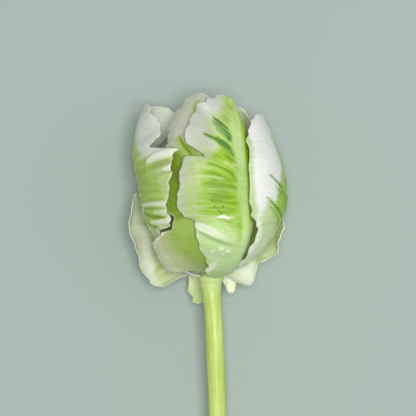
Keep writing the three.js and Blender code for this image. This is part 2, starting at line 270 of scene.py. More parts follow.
# ---- Markings, mm ----
# Each mark is (strength, softness, spine), and its spine holds (height, across, half width).
VEIN_BEND = 5.5  # distance from the midrib over which veins climb
VEIN_CHANGE_START = 30  # height above which their climb changes
VEIN_CHANGE_SPAN = 30  # height over which it changes
FEATHER_SOFT = 1.2  # softness of the feathers' edges
FEATHER_STEPS = 5
FEATHER_STRENGTH = 0.55
FEATHER_WIDTH = 0.35
FEATHER_UNEVEN = 0.4  # share by which their length and strength vary
FEATHER_LENGTH_TURN = 2.4  # how fast their length varies with their height
FEATHER_STRENGTH_TURN = 1.7  # how fast their strength does
FRECKLE_RADIUS = 0.12
FRECKLES = [
    (1, 0.5, [(height, across, FRECKLE_RADIUS)])
    for height, across in (
        (30.4, -13.8), (30, -12.6), (29.9, -10.9), (28.3, -13), (28.3, -9.7), (26.9, -11.3), (26, -10.2),
    )
]


def feathers(name, side, starts, reach):
    """Dark feathers that leave the midrib at each start height and follow the veins."""
    low, high = PETALS[name]["veins"]
    marks = []
    for start in starts:
        change = min(max((start - VEIN_CHANGE_START) / VEIN_CHANGE_SPAN, 0), 1)
        climb = low + (high - low) * change
        length = reach * (1 + FEATHER_UNEVEN * math.sin(FEATHER_LENGTH_TURN * start))
        spine = []
        for step in range(FEATHER_STEPS + 1):
            across = length * step / FEATHER_STEPS
            height = start + climb * (1 - math.exp(-across / VEIN_BEND))
            width = FEATHER_WIDTH * (1 - step / FEATHER_STEPS)
            spine.append((height, side * across, width))
        strength = FEATHER_STRENGTH * (1 + FEATHER_UNEVEN * math.sin(FEATHER_STRENGTH_TURN * start))
        marks.append((strength, FEATHER_SOFT, spine))
    return marks


# green is how far the ground goes from white through pale green to deep green; streak adds to it.
# mint, plume, cream and shade are laid over it in that order. cream is partly the real cream of blisters
# and rolled margins and partly a painted highlight on the crests of folds and pleats; shade is painted
# shade in hollows, creases and under folds, and it also darkens the freckles.
MASKS = ("green", "streak", "mint", "plume", "cream", "shade")
MARKS = {
    "petal_front": {
        "green": [
            (0.5, 5, [(71, 0.4, 0), (66, -1, 0.6), (61, -3, 1.2), (57, -5.4, 1.6), (53, -6, 1.4),
                      (49.5, -5.6, 1.2), (46.5, -5.6, 1)]),
            (0.32, 10, [(41.5, -14, 0), (37, -17, 2), (30, -18, 3), (24, -15, 3), (20.5, -11, 1)]),
            (0.72, 8, [(39.5, -4, 0.5), (40, -11.5, 0.2)]),
            (0.8, 10, [(35, -4, 1), (34.5, -12.5, 1.5)]),
            (0.78, 10, [(29.5, -4, 1), (29, -11.5, 1.5)]),
            (0.9, 2.6, [(50.4, -9.6, 0.2), (49, -8, 0.8), (47, -6.6, 1), (45, -6, 0.5)]),
            (0.66, 3, [(46.4, -5, 0.2), (45.6, -9, 0.8), (43.4, -11.5, 0.8)]),
            (0.22, 4, [(59, -8, 0.5), (53.8, -11, 1.5), (50.5, -12, 0.5)]),
            (0.55, 5, [(24, -6, 2), (21, -4, 2)]),
            (0.65, 2.2, [(64, 2.4, 0.2), (58, 2.6, 1.6), (50, 3.6, 2.8)]),
            (1.2, 2.2, [(54, 4.6, 2), (48, 4.4, 3.2), (42, 4.4, 4), (32, 4.8, 4.4), (26, 5.2, 3.2)]),
            (0.45, 2.2, [(26, -2.8, 0.1), (24, -2.8, 0.5), (20, -2.3, 0.6), (15, -2.4, 0.5), (9, -2, 0.2)]),
            (0.6, 3, [(23, 5, 3), (19, 6, 2)]),
            (0.7, 3, [(12, 6, 2.5), (6, 7, 1)]),
            (0.2, 2, [(38, -1.6, 1.4), (26, -1.6, 1.4), (17, -1.4, 1.2), (12, -0.6, 0.6)]),
        ],
        "mint": [
            (0.7, 2.8, [(64, -1.4, 0), (58, -2.6, 0.2), (51, -2.6, 0.5), (44, -2, 0.6), (34, -2.1, 0.6),
                        (28, -1.2, 0.5), (20, 0.5, 0.4), (14, 1, 0.2)]),
            (0.9, 7, [(17, -13, 2), (12, -10, 5), (6, -7, 7), (1, -3, 8)]),
            (0.6, 3, [(18, 5, 3), (14, 4, 3)]),
        ],
        "streak": [
            (0.9, 0.6, [(37.4, -4, 0), (40, -5.8, 0.25), (40.9, -7.8, 0.25), (41.4, -10.2, 0.2),
                        (41.7, -13, 0.1), (41.6, -15.5, 0)]),
            (0.9, 0.6, [(49.7, -15.4, 0), (50, -13.4, 0.1), (50.1, -11.5, 0.2), (50, -9.8, 0.2)]),
            (0.35, 2, [(35.3, -5, 0), (36.2, -8, 0.7), (36, -11, 0.7), (35.5, -17, 0)]),
            (0.3, 1.8, [(31.8, -5.5, 0), (32.6, -10, 0.7), (32.4, -14, 0.7), (32, -19, 0)]),
            (0.25, 1.8, [(26.8, -6, 0), (27.5, -10, 1), (27, -13, 0.8), (26.4, -18, 0)]),
            (0.3, 1.2, [(44.4, -4, 0), (45.2, -8, 0.2), (44.8, -12, 0)]),
            (0.35, 1.2, [(38.6, -5, 0), (39.2, -9, 0.2), (39, -18, 0)]),
            (0.25, 1.6, [(29.4, -4, 0), (29.8, -9, 0.3), (29.4, -19, 0)]),
            (0.25, 0.8, [(23.2, -14, 0), (22.2, -10.5, 0.1), (21.8, -6.4, 0)]),
            (0.15, 2.4, [(34, -0.2, 0), (27, -0.8, 0.3), (21, -1.9, 0.4), (15, -1.6, 0)]),
        ] + FRECKLES,
        "plume": [
            (0.95, 1.5, [(57.6, -9.8, 0), (56.9, -8.4, 0.7), (56.2, -7.1, 1.1), (54.8, -5.9, 0.9),
                         (53.1, -5.5, 0.2)]),
            (0.6, 0.8, [(56.4, -10.9, 0), (56, -9, 0.2), (55.4, -7, 0)]),
            (0.6, 0.8, [(55.3, -10.9, 0), (54.9, -9, 0.2), (54.4, -7, 0)]),
            (0.5, 0.8, [(54.2, -9.9, 0), (53.8, -8, 0.2), (53.4, -6.4, 0)]),
            (0.6, 0.8, [(61, -6.4, 0), (60.5, -5.2, 0.25), (60, -4.2, 0)]),
            (0.8, 0.7, [(49.7, -15.4, 0), (50, -13.4, 0.1), (50.1, -11.5, 0.25), (50, -9.8, 0.4)]),
            (0.95, 1.3, [(50, -10, 0.1), (49.9, -8.4, 0.6), (49.6, -7, 0.8), (48.6, -5.9, 0.3),
                         (47.4, -4.9, 0)]),
            (0.3, 1.4, [(46, -4.6, 0), (44.4, -4, 0.2), (42, -3.4, 0)]),
        ],
        # painted highlight: the fold near height 15, the blisters and the thin ridges near heights 34 to 38
        # are pale on their crests, partly their own cream and partly painted highlight; the lobe near the
        # base is its own cream
        "cream": [
            (0.7, 2, [(15.6, -18.8, 0.2), (14.9, -15.8, 0.7), (14.7, -12.7, 0.5), (14.7, -9.6, -0.2),
                      (14.4, -6, -1.2)]),
            (0.85, 0.9, [(24.1, -11.6, 0), (24.4, -9.5, 0.35), (23.7, -7.3, 0.15)]),
            (0.6, 0.7, [(23.9, -6, 0.2)]),
            (0.6, 0.5, [(8.4, -11.2, 0.2), (8.8, -10.4, 0.1)]),
            (0.6, 0.5, [(9.7, -8.9, 0), (10.5, -8, 0.2), (10.3, -7.3, 0)]),
            (0.5, 0.4, [(8.9, -7.2, 0.1), (8.7, -6.3, 0)]),
            (0.6, 0.5, [(9.7, -6, 0), (10.4, -5, 0.2), (10, -4.2, 0)]),
            (0.45, 0.5, [(17, -9.6, 0), (17.1, -8.8, 0.2)]),
            (0.4, 0.4, [(18.8, -7.4, 0), (18.4, -6.2, 0.1)]),
            (0.8, 1.4, [(4.8, -8, 0.5), (3.2, -8.4, 0.7)]),
            (0.25, 0.7, [(36.4, -26.4, 0.2), (37.3, -21.9, 0), (38, -13, 0), (37.7, -9.8, 0)]),
            (0.15, 0.6, [(33.9, -4.4, 0), (34.5, -9, 0), (34.2, -15, 0)]),
        ],
        "shade": [
            (0.5, 0.6, [(12.6, -17, 0), (12.3, -12.5, 0.1), (12.5, -9.2, 0.1), (12.9, -5, 0)]),
            (0.3, 0.6, [(22.9, -11.5, 0), (22.7, -8.5, 0.1), (22.6, -5.5, 0)]),
            (0.4, 5, [(56, -17, 1), (50, -16, 3), (45, -17, 2)]),
            (0.35, 5, [(38, -24, 2), (30, -23, 3), (22, -19, 3)]),
        ] + FRECKLES,
    },
    "petal_right": {
        "green": [
            (0.68, 10, [(37, -2, 0), (33.5, -4, 0.3), (30, -6, 0.8), (26.5, -6, 1), (23, -4, 0.5)]),
            (0.75, 5, [(35, -9, 0), (31, -10, 0.6), (27, -11, 1)]),
            (0.5, 12, [(50, 3, 0), (42, 4, 0.5), (34, 6, 2), (26, 7, 2.5), (18, 6, 1)]),
            (0.4, 3, [(11, 1, 2), (13, 6, 2)]),
            (0.32, 4, [(54, -24, 0), (46, -28, 0.5), (38, -29.5, 0.8), (30, -29, 0.8), (24, -25, 0)]),
            (0.3, 5, [(29, -18, 0), (26, -16, 2), (21, -12, 3)]),
        ],
        "mint": [
            (0.6, 5, [(24, -19, 1), (19, -12, 4), (12, -8, 7), (4, -3, 9)]),
            (0.7, 5, [(16, 6, 5), (8, 5, 6)]),
        ],
        "streak": [
            (0.35, 1.2, [(24.4, -14, 0), (23.2, -8, 0.3), (20.6, -2, 0)]),
            (0.45, 1, [(19.4, -3.6, 0), (15.6, -2, 0.2), (13.3, -0.8, 0.3), (10, 3.4, 0.3), (7.6, 5, 0)]),
            (0.3, 0.9, [(12.5, -6, 0), (9.4, -4, 0.1), (6.4, 0, 0.1)]),
            (0.4, 0.9, [(18, -4, 0), (14, -5, 0.2), (10.4, -5, 0.1), (7.6, -3.4, 0)]),
            (0.35, 0.8, [(16, -8, 0), (12.4, -8.6, 0.2), (8.6, -7.6, 0)]),
            (0.3, 0.8, [(19.4, -10, 0), (16, -11, 0.2), (12.6, -10.8, 0)]),
        ],
        "plume": [
            (0.85, 0.7, [(40.4, -17.8, 0), (37.8, -13, 0.2), (34.3, -7.3, 0.35), (31, -2.6, 0.4)]),
            (0.7, 0.6, [(36.2, -14.8, 0), (33.4, -9.6, 0.1), (30, -4, 0.1)]),
            (0.85, 0.7, [(31.6, -20.6, 0), (28.4, -14.2, 0.25), (26, -8, 0.25), (24, -3, 0.1)]),
            (0.6, 0.6, [(32.6, -13, 0), (30.4, -8.4, 0.1), (28, -4, 0)]),
            (0.6, 0.6, [(28, -17.6, 0), (25.4, -11.4, 0.1), (23, -5, 0)]),
            (0.3, 2, [(32, -1.5, 0.2), (28.5, -1.5, 0.6), (24, -1, 0.2)]),
        ] + feathers("petal_right", 1, (14, 18, 24, 27, 31, 36, 38, 44), 14),
        "cream": [
            (0.6, 1.8, [(7.5, -9.4, 0), (12.5, -12.4, 0.5), (16.6, -15.2, 0.7), (21.4, -18.9, 0)]),
            (0.4, 1, [(8, -4.6, 0), (11.4, -6.6, 0.2), (14, -8.4, 0)]),
            (0.6, 2, [(5, 4, 1), (6.4, 7.6, 1)]),
        ],
        "shade": [
            (0.3, 0.8, [(21, -19, 0), (21.8, -13, 0.1), (22.2, -9, 0)]),
            (0.4, 1, [(9.4, -1, 0), (8.6, 3, 0.1), (8.6, 7, 0)]),
        ],
    },
    "petal_back_right": {
        "green": [
            (0.55, 8, [(12, -2, 2), (24, -2, 4), (34, -1, 5), (46, 0, 3), (56, -1, 0)]),
            (0.75, 3.5, [(6, 9, 1.5), (3.4, 8, 1.5)]),
            (0.45, 7, [(14, 10, 3), (28, 9, 5), (40, 7, 2)]),
        ],
        "mint": [
            # partly painted light: the inner strip by the right petal is laid in light mint, its own pale
            # green made lighter against the shade it lies in
            (0.7, 6, [(22, -21, 4), (12, -19, 5), (6, -12, 4)]),
            (0.8, 4, [(5.5, 9, 1), (4, 14, 1)]),
        ],
        "streak": feathers("petal_back_right", 1, (16, 19, 25, 29, 32, 38, 41, 48), 15)
        + feathers("petal_back_right", -1, (15, 21, 24, 30, 35, 37, 44, 49), 14),
        "cream": [
            (0.4, 2.5, [(6, 20.5, 1), (4, 18.8, 1), (2.4, 15.4, 1), (1.4, 11, 1)]),
            # painted shade: yellow-green laid on the inner face where it shows through the gap between the
            # front and right petals, so that the shade in that crevice reads olive green
            (0.9, 4, [(24, -4, 1), (14, -4, 2), (5, -4, 1)]),
        ],
        "shade": [
            (0.6, 6, [(62, -3, 2), (56, -4, 3), (50, -6, 3)]),
        ],
    },
    "petal_back_left": {
        "green": [
            (0.55, 8, [(12, 0, 2), (24, 1, 4), (34, 2, 5), (46, 1, 3), (54, 0, 0)]),
            (0.5, 7, [(16, -9, 3), (30, -9, 5), (42, -6, 2)]),
        ],
        "mint": [
            (0.7, 3.5, [(16, 10, 0), (11.5, 10.2, 0.6), (8.5, 9.5, 1.4), (6, 7.6, 1.6)]),
            # painted shade: strong mint on the inner face where it is seen through the crevice between the
            # left and front-left petals, so that the shade there reads olive green
            (1, 4, [(28, -2, 1), (20, 0, 3), (15, 3, 2)]),
        ],
        "streak": [
            (0.35, 2, [(14, 12, 0), (11, 10.8, 0.5), (8.6, 10.6, 0)]),
        ] + feathers("petal_back_left", 1, (14, 19, 23, 29, 31, 36, 42, 46), 14)
        + feathers("petal_back_left", -1, (17, 20, 26, 30, 37, 40, 43, 50), 15),
    },
    "petal_left": {
        "green": [
            (0.45, 4, [(55, 0, 0), (50, 3, 1.5), (46, 6, 2.5)]),
            (0.62, 8, [(41, 10, 3), (38, 12, 5), (33, 12, 6), (31, 12, 6)]),
            (0.42, 9, [(42, 20, 1), (38, 22, 3), (33, 19, 3)]),
            (0.5, 2, [(44.6, 20, 0.3), (45.4, 24, 0.4), (46.2, 29, 0.2)]),
            (0.55, 4, [(26.5, 8, 3), (23, 8, 3), (20, 6, 1)]),
            (0.3, 4, [(28, 14, 4), (20, 13, 4)]),
            (0.6, 8, [(58, -3, 0), (46, -4, 2), (34, -5, 4), (22, -5, 4), (12, -3, 2)]),
        ],
        "streak": [
            (0.2, 1.8, [(39.5, 3, 0), (43, 7, 0.4), (45.2, 11.5, 0.3), (46.4, 16, 0)]),
            (0.2, 1.8, [(37, 4, 0), (40.4, 8.6, 0.5), (42.6, 14, 0.4), (43.8, 19, 0)]),
            (0.16, 1.4, [(44, 1.5, 0), (47, 5, 0.3), (49.4, 9.5, 0)]),
            (0.16, 2, [(34, 4, 0), (36.8, 9, 0.4), (38.8, 15, 0.3), (40, 20, 0)]),
            (0.14, 2, [(31.6, 5, 0), (33.4, 10, 0.4), (35, 15, 0.3), (36, 20, 0)]),
            # partly painted shadow: these dark green lines run just under the crests of the pleats, partly
            # the veins' own green and partly painted shadow
            (0.5, 0.7, [(27.6, 5.5, 0), (27.3, 9, 0.3), (27.3, 12, 0.2), (27.6, 15, 0)]),
            (0.85, 0.8, [(25.6, 6.5, 0), (24.4, 10, 0.5), (24.1, 13.5, 0.35), (24.2, 18, 0)]),
            (0.55, 1, [(21.8, 5, 0), (20.6, 7.5, 0.5), (20, 9.5, 0.2)]),
        ] + feathers("petal_left", -1, (13, 18, 21, 27, 31, 34, 41, 45, 51), 15),
        # painted highlight: the lines near heights 22, 26 and 29 are pale on the crests of the pleats, and
        # the lobes near heights 43 to 50 are partly their own pale margin and partly painted highlight where
        # they curl out; the rest is the margins' own cream
        "cream": [
            (0.75, 0.8, [(28.4, 5, -0.2), (29, 11, 0.1), (29.3, 17, 0.4), (29.3, 21.8, 0.6)]),
            (0.5, 1, [(26.2, 13.5, 0), (25.9, 17, 0.3), (26, 20, 0.7)]),
            (0.65, 1, [(22, 9, 0), (22, 13, 0.2), (22.4, 17, 0.5), (23, 19.3, 0.6)]),
            (0.85, 1.2, [(45.8, 17, 0), (47.1, 20.5, 0.7), (48.4, 25.5, 1.2), (49.6, 30.5, 0.4)]),
            (0.75, 1.1, [(42.8, 24.4, 0), (43.3, 27.4, 0.4)]),
            (0.6, 1.5, [(28.5, 4, 0), (24, 3, 0.4), (20.5, 2, 0.4), (18, 4, 0.3)]),
            (0.1, 2, [(41, 27, 0.2), (36.5, 25, 0.2), (32, 22.6, 0.2)]),
        ],
        "shade": [
            (0.5, 1.6, [(46.4, 33, 0), (45.4, 28, 0.2), (44.5, 23, 0.2), (43.6, 18.5, 0)]),
            (0.3, 1.1, [(42, 29, 0), (41.2, 25, 0.1), (40.4, 21.5, 0)]),
            (0.4, 0.5, [(30.6, 8, 0), (30.9, 14, 0.1), (31, 20, 0.1)]),
        ],
    },
    "petal_front_left": {
        "green": [
            (0.62, 7, [(22, -2, 4), (18, -5, 3), (15, -3, 3)]),
            (0.7, 7, [(15, 3, 2), (10, 2, 3), (7, 3, 2)]),
            (1.05, 4.5, [(27, -3, 3), (34, -4, 6), (42, -4, 5), (45, -3, 3)]),
            (0.45, 2.6, [(54.4, -2.2, 0), (52.6, -0.4, 0.2), (50.6, 1.2, 0.8), (47, 4, 3)]),
            (0.7, 2.5, [(50.5, 3, 0.5), (47, 6, 1), (44, 8, 1)]),
            (0.35, 2, [(69, 1.9, 0), (60, 2.8, 0.5)]),
        ],
        "mint": [
            # partly painted shade: the greyish mint over the belly's bottom, where it turns under, is partly
            # its own pale green and partly painted shade
            (0.7, 6, [(15, -13, 3), (9, -12, 3), (5, -8, 3), (2, -2, 2)]),
        ],
        "streak": [
            (0.8, 0.6, [(55.6, -2, 0), (53.4, -0.6, 0.15), (51, 1.4, 0.25), (49.6, 3, 0.3), (48.4, 4, 0)]),
        ],
        "cream": [
            (0.8, 1.4, [(18.4, -10.5, 0.2), (17.4, -13.2, 0.8), (15.4, -15, 0.4), (13, -15.6, 0)]),
            (0.3, 1.6, [(13, -15, 0.3), (9.9, -13.4, 0.4), (6, -10.6, 0.4), (3, -6, 0.5)]),
        ],
        "shade": [
            (0.5, 3, [(48, -6, 1), (43, -5, 1), (40, -1, 1)]),
        ],
    },
}

# ---- Low relief, mm: marks as above, with a height for their strength ----
RELIEF = {
    "petal_front": [
        (0.5, 1, [(24.1, -11.2, 0.2), (24.3, -9.2, 0.6), (23.6, -7, 0.3)]),
        (0.3, 0.6, [(8.4, -11.2, 0.2), (8.8, -10.4, 0.1)]),
        (0.3, 0.6, [(9.7, -8.9, 0), (10.5, -8, 0.2), (10.3, -7.3, 0)]),
        (0.25, 0.5, [(8.9, -7.2, 0.1), (8.7, -6.3, 0)]),
        (0.3, 0.6, [(9.7, -6, 0), (10.4, -5, 0.2), (10, -4.2, 0)]),
        (0.25, 0.6, [(17, -9.6, 0), (17.1, -8.8, 0.2)]),
        (0.2, 0.5, [(18.8, -7.4, 0), (18.4, -6.2, 0.1)]),
        (-0.25, 1.6, [(70, -0.2, 0.1), (51.5, -0.2, 0.2), (24.5, -1.8, 0.2), (16, -0.6, 0.2)]),
        (0.3, 1, [(36.6, -26, 0.3), (37.3, -21.9, 0.2), (38, -13, 0.1)]),
    ],
    "petal_right": [
        (0.35, 1.6, [(8.5, -10.3, 0.4), (16.2, -14.9, 0.6), (20.7, -18.4, 0.6)]),
        (-0.4, 1.4, [(19.4, -3.6, 0.2), (15.6, -2, 0.3), (13.3, -0.8, 0.3), (10, 3.4, 0.3), (7.6, 5, 0.2)]),
        (-0.2, 1, [(12.5, -6, 0.1), (9.4, -4, 0.1), (6.4, 0, 0.1)]),
    ],
    "petal_left": [
        (0.9, 2, [(45.4, 15, 0), (47.2, 20, 0.7), (48.3, 26, 1), (49.2, 30, 0.6)]),
        (-0.4, 1.3, [(46, 29, 0.2), (44.6, 22, 0.3), (42.6, 15, 0.1)]),
        (0.6, 1.3, [(41.4, 20, 0), (42.6, 24, 0.5), (43.2, 27, 0.6)]),
        (-0.3, 1.1, [(41, 27.5, 0.2), (40.2, 22, 0.2), (39, 17, 0)]),
        (0.35, 1.2, [(19.6, 12.4, 0.6)]),
        (0.3, 1.4, [(27.7, 3, 0.3), (21.1, -3.6, 0.4), (18.4, 0.1, 0.4)]),
    ],
    "petal_front_left": [
        (-0.3, 1.6, [(55.9, -2.4, 0.3), (52.6, 1.1, 0.6), (49.9, 3.6, 0.7), (48.7, 6.9, 0.6)]),
        (0.3, 1.4, [(16.6, -14.7, 0.6), (11.3, -12.9, 0.5), (6.8, -9.5, 0.5), (3.2, -8.2, 0.4)]),
    ],
}


# ---- Smooth functions ----
def ease(x):
    """Smooth step from 0 to 1."""
    x = np.clip(x, 0, 1)
    return x * x * (3 - 2 * x)


def along(stations, t):
    """Value at t, 0 to 1, of a smooth curve through evenly spaced stations."""
    values = np.asarray(stations, float)
    last = len(values) - 1
    place = np.clip(t, 0, 1) * last
    index = np.minimum(np.floor(place).astype(int), last)
    f = place - index
    before = values[np.maximum(index - 1, 0)]
    here = values[index]
    after = values[np.minimum(index + 1, last)]
    beyond = values[np.minimum(index + 2, last)]
    slope_in = (after - before) / 2
    slope_out = (beyond - here) / 2
    cubic = 2 * here - 2 * after + slope_in + slope_out
    square = -3 * here + 3 * after - 2 * slope_in - slope_out
    return cubic * f**3 + square * f**2 + slope_in * f + here


RIPPLE_WAVES = ((0.6, 1, 1), (0.28, 2.3, 1.7), (0.12, 4.1, -1))  # share, times as fast, times the phase


def ripple(x, length, phase):
    """Uneven wave between -1 and 1."""
    turn = 2 * math.pi * x / length
    return sum(share * np.sin(speed * turn + shift * phase) for share, speed, shift in RIPPLE_WAVES)


ROUTE_STEPS = 60  # fine points for each part of a rounded line


def smooth_route(points, spacing):
    """Evenly spaced points along a rounded line through the given ones, with directions and distances."""
    given = np.asarray(points, float)
    ends = [2 * given[0] - given[1], *given, 2 * given[-1] - given[-2]]
    made = [given[0]]
    f = np.linspace(0, 1, ROUTE_STEPS)[1:, None]
    for p0, p1, p2, p3 in zip(ends, ends[1:], ends[2:], ends[3:]):
        d0, d1, d2 = (math.sqrt(np.linalg.norm(b - a)) for a, b in ((p0, p1), (p1, p2), (p2, p3)))
        start = ((p1 - p0) / d0 - (p2 - p0) / (d0 + d1) + (p2 - p1) / d1) * d1
        stop = ((p2 - p1) / d1 - (p3 - p1) / (d1 + d2) + (p3 - p2) / d2) * d1
        cubic = 2 * p1 - 2 * p2 + start + stop
        square = -3 * p1 + 3 * p2 - 2 * start - stop
        made.extend(cubic * f**3 + square * f**2 + start * f + p1)
    fine = np.array(made)
    lengths = np.concatenate([[0], np.cumsum(np.linalg.norm(np.diff(fine, axis=0), axis=1))])
    distances = np.append(np.arange(0, lengths[-1], spacing), lengths[-1])
    even = np.stack([np.interp(distances, lengths, fine[:, k]) for k in range(3)], -1)
    direction = np.gradient(even, distances, axis=0)
    return even, direction / np.linalg.norm(direction, axis=1, keepdims=True), distances


# ---- Mesh and node helpers ----
def make_mesh(name, points, faces, material, attributes, veins=None):
    """A smooth mesh object in the frame, with one float attribute for each mask."""
    mesh = bpy.data.meshes.new(name)
    mesh.from_pydata(points.tolist(), [], faces)
    for key, values in attributes.items():
        attribute = mesh.attributes.new(key, "FLOAT", "POINT")
        attribute.data.foreach_set("value", np.asarray(values, np.float32))
    if veins is not None:
        corners = np.zeros(len(mesh.loops), int)
        mesh.loops.foreach_get("vertex_index", corners)
        layer = mesh.uv_layers.new(name=VEIN_MAP)
        layer.data.foreach_set("uv", veins[corners].astype(np.float32).ravel())
    mesh.shade_smooth()
    mesh.materials.append(material)
    mesh.validate()
    piece = bpy.data.objects.new(name, mesh)
    bpy.context.scene.collection.objects.link(piece)
    return piece


def stand_in(piece, node):
    """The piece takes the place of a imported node."""
    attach(piece, "root")
    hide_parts(node)


def grid_faces(rows, columns, first=0, flip=False, wrap=False):
    """Quads of a grid of points counted row by row."""
    faces = []
    for i in range(rows - 1):
        for j in range(columns if wrap else columns - 1):
            k = (j + 1) % columns
            a, b = first + i * columns + j, first + i * columns + k
            quad = (a, b, b + columns, a + columns)
            faces.append(quad[::-1] if flip else quad)
    return faces


def add_node(tree, kind, inputs=None, **settings):
    """A node with its settings, and its inputs set to values or linked to other sockets."""
    made = tree.nodes.new(kind)
    for key, value in settings.items():
        setattr(made, key, value)
    for key, value in (inputs or {}).items():
        if isinstance(value, bpy.types.NodeSocket):
            tree.links.new(value, made.inputs[key])
        else:
            made.inputs[key].default_value = value
    return made


MIX_FACTOR, MIX_BASE, MIX_TOP, MIX_RESULT = 0, 6, 7, 2  # the colour sockets of a Mix node


def blend_colors(tree, mask, base, top, mode="MIX"):
    """Colour that goes from base to top, or to both multiplied, as mask goes from 0 to 1."""
    inputs = {MIX_FACTOR: mask, MIX_BASE: base, MIX_TOP: top}
    mix = add_node(tree, "ShaderNodeMix", inputs, data_type="RGBA", blend_type=mode)
    return mix.outputs[MIX_RESULT]


def compute(tree, operation, first, second):
    """Result of one sum on two values."""
    return add_node(tree, "ShaderNodeMath", {0: first, 1: second}, operation=operation).outputs[0]


def remap(tree, value, low, high, to_low=0.0, to_high=1.0):
    """Value taken smoothly from the range low to high into another range."""
    inputs = {"Value": value, "From Min": low, "From Max": high, "To Min": to_low, "To Max": to_high}
    return add_node(tree, "ShaderNodeMapRange", inputs, interpolation_type="SMOOTHSTEP").outputs["Result"]


def attribute(tree, name):
    """Float attribute of the mesh."""
    return add_node(tree, "ShaderNodeAttribute", attribute_name=name).outputs["Fac"]


def noise(tree, vector, scale, detail):
    """Soft noise, mostly 0.3 to 0.7."""
    inputs = {"Vector": vector, "Scale": scale, "Detail": detail}
    return add_node(tree, "ShaderNodeTexNoise", inputs).outputs["Fac"]


def stretch(tree, vector, scale):
    """Vector multiplied by a scale in each direction."""
    return add_node(tree, "ShaderNodeVectorMath", {0: vector, 1: scale}, operation="MULTIPLY").outputs[0]


def start_group(name, inputs, outputs):
    """An empty node group, or None if it is already there; sockets are (name, kind, default)."""
    if name in bpy.data.node_groups:
        return None, None, None
    tree = bpy.data.node_groups.new(name, "ShaderNodeTree")
    for socket, kind, value in inputs:
        made = tree.interface.new_socket(name=socket, in_out="INPUT", socket_type="NodeSocket" + kind)
        if value is not None:
            made.default_value = value
    for socket, kind in outputs:
        tree.interface.new_socket(name=socket, in_out="OUTPUT", socket_type="NodeSocket" + kind)
    return tree, tree.nodes.new("NodeGroupInput").outputs, tree.nodes.new("NodeGroupOutput").inputs


def use_group(tree, name, inputs):
    """Outputs of a copy of a node group in a material."""
    return add_node(tree, "ShaderNodeGroup", inputs, node_tree=bpy.data.node_groups[name]).outputs


def opaque(color):
    """A colour with full alpha."""
    return (*color[:3], 1)


# ---- Node groups shared by the materials ----
VEIN_MAP = "veins"
VEIN_STREAKS = "Petal vein streaks"
PETAL_PAINT = "Petal paint"
PLANT_SKIN = "Plant skin"
NOISE_RANGE = (0.3, 0.7)  # what soft noise mostly keeps to
NOISE_DETAIL = 2.0
STREAK_DEPTHS = {"Green": 0.3, "Streak": 0.7, "Mint": 0.7, "Plume": 1.3}  # how far streaks break a mask up
GREEN_RAMP = (("Pale", 0.0, 0.36), ("Green", 0.28, 0.74), ("Deep", 0.7, 1.25))  # amounts of each shade
CLOUD_RANGE = (0.25, 0.75)
CLOUD_TONES = (0.96, 1.03)
STREAK_TONES = (1.02, 0.97)
PETAL_ROUGHNESS = (0.46, 0.58)
RIM_BAND = (0.05, 0.5)  # distances from the margin over which the rim fades, mm
CELL_SHARE = 0.4
CLOUD_SCALE = 130.0


def build_vein_streaks():
    """Streaks that follow a blade's veins, coarse ones for colour and fine ones for relief."""
    inputs = [("Veins", "Vector", None), ("Length", "Float", 9.0)]
    inputs += [("Coarse", "Float", 90.0), ("Fine", "Float", 170.0)]
    tree, given, result = start_group(VEIN_STREAKS, inputs, [("Streak", "Float"), ("Ridge", "Float")])
    if tree is None:
        return
    for frequency, output in (("Coarse", "Streak"), ("Fine", "Ridge")):
        scales = {"X": given["Length"], "Y": given[frequency]}
        scale = add_node(tree, "ShaderNodeCombineXYZ", scales).outputs[0]
        soft = noise(tree, stretch(tree, given["Veins"], scale), 1.0, NOISE_DETAIL)
        tree.links.new(remap(tree, soft, *NOISE_RANGE), result[output])


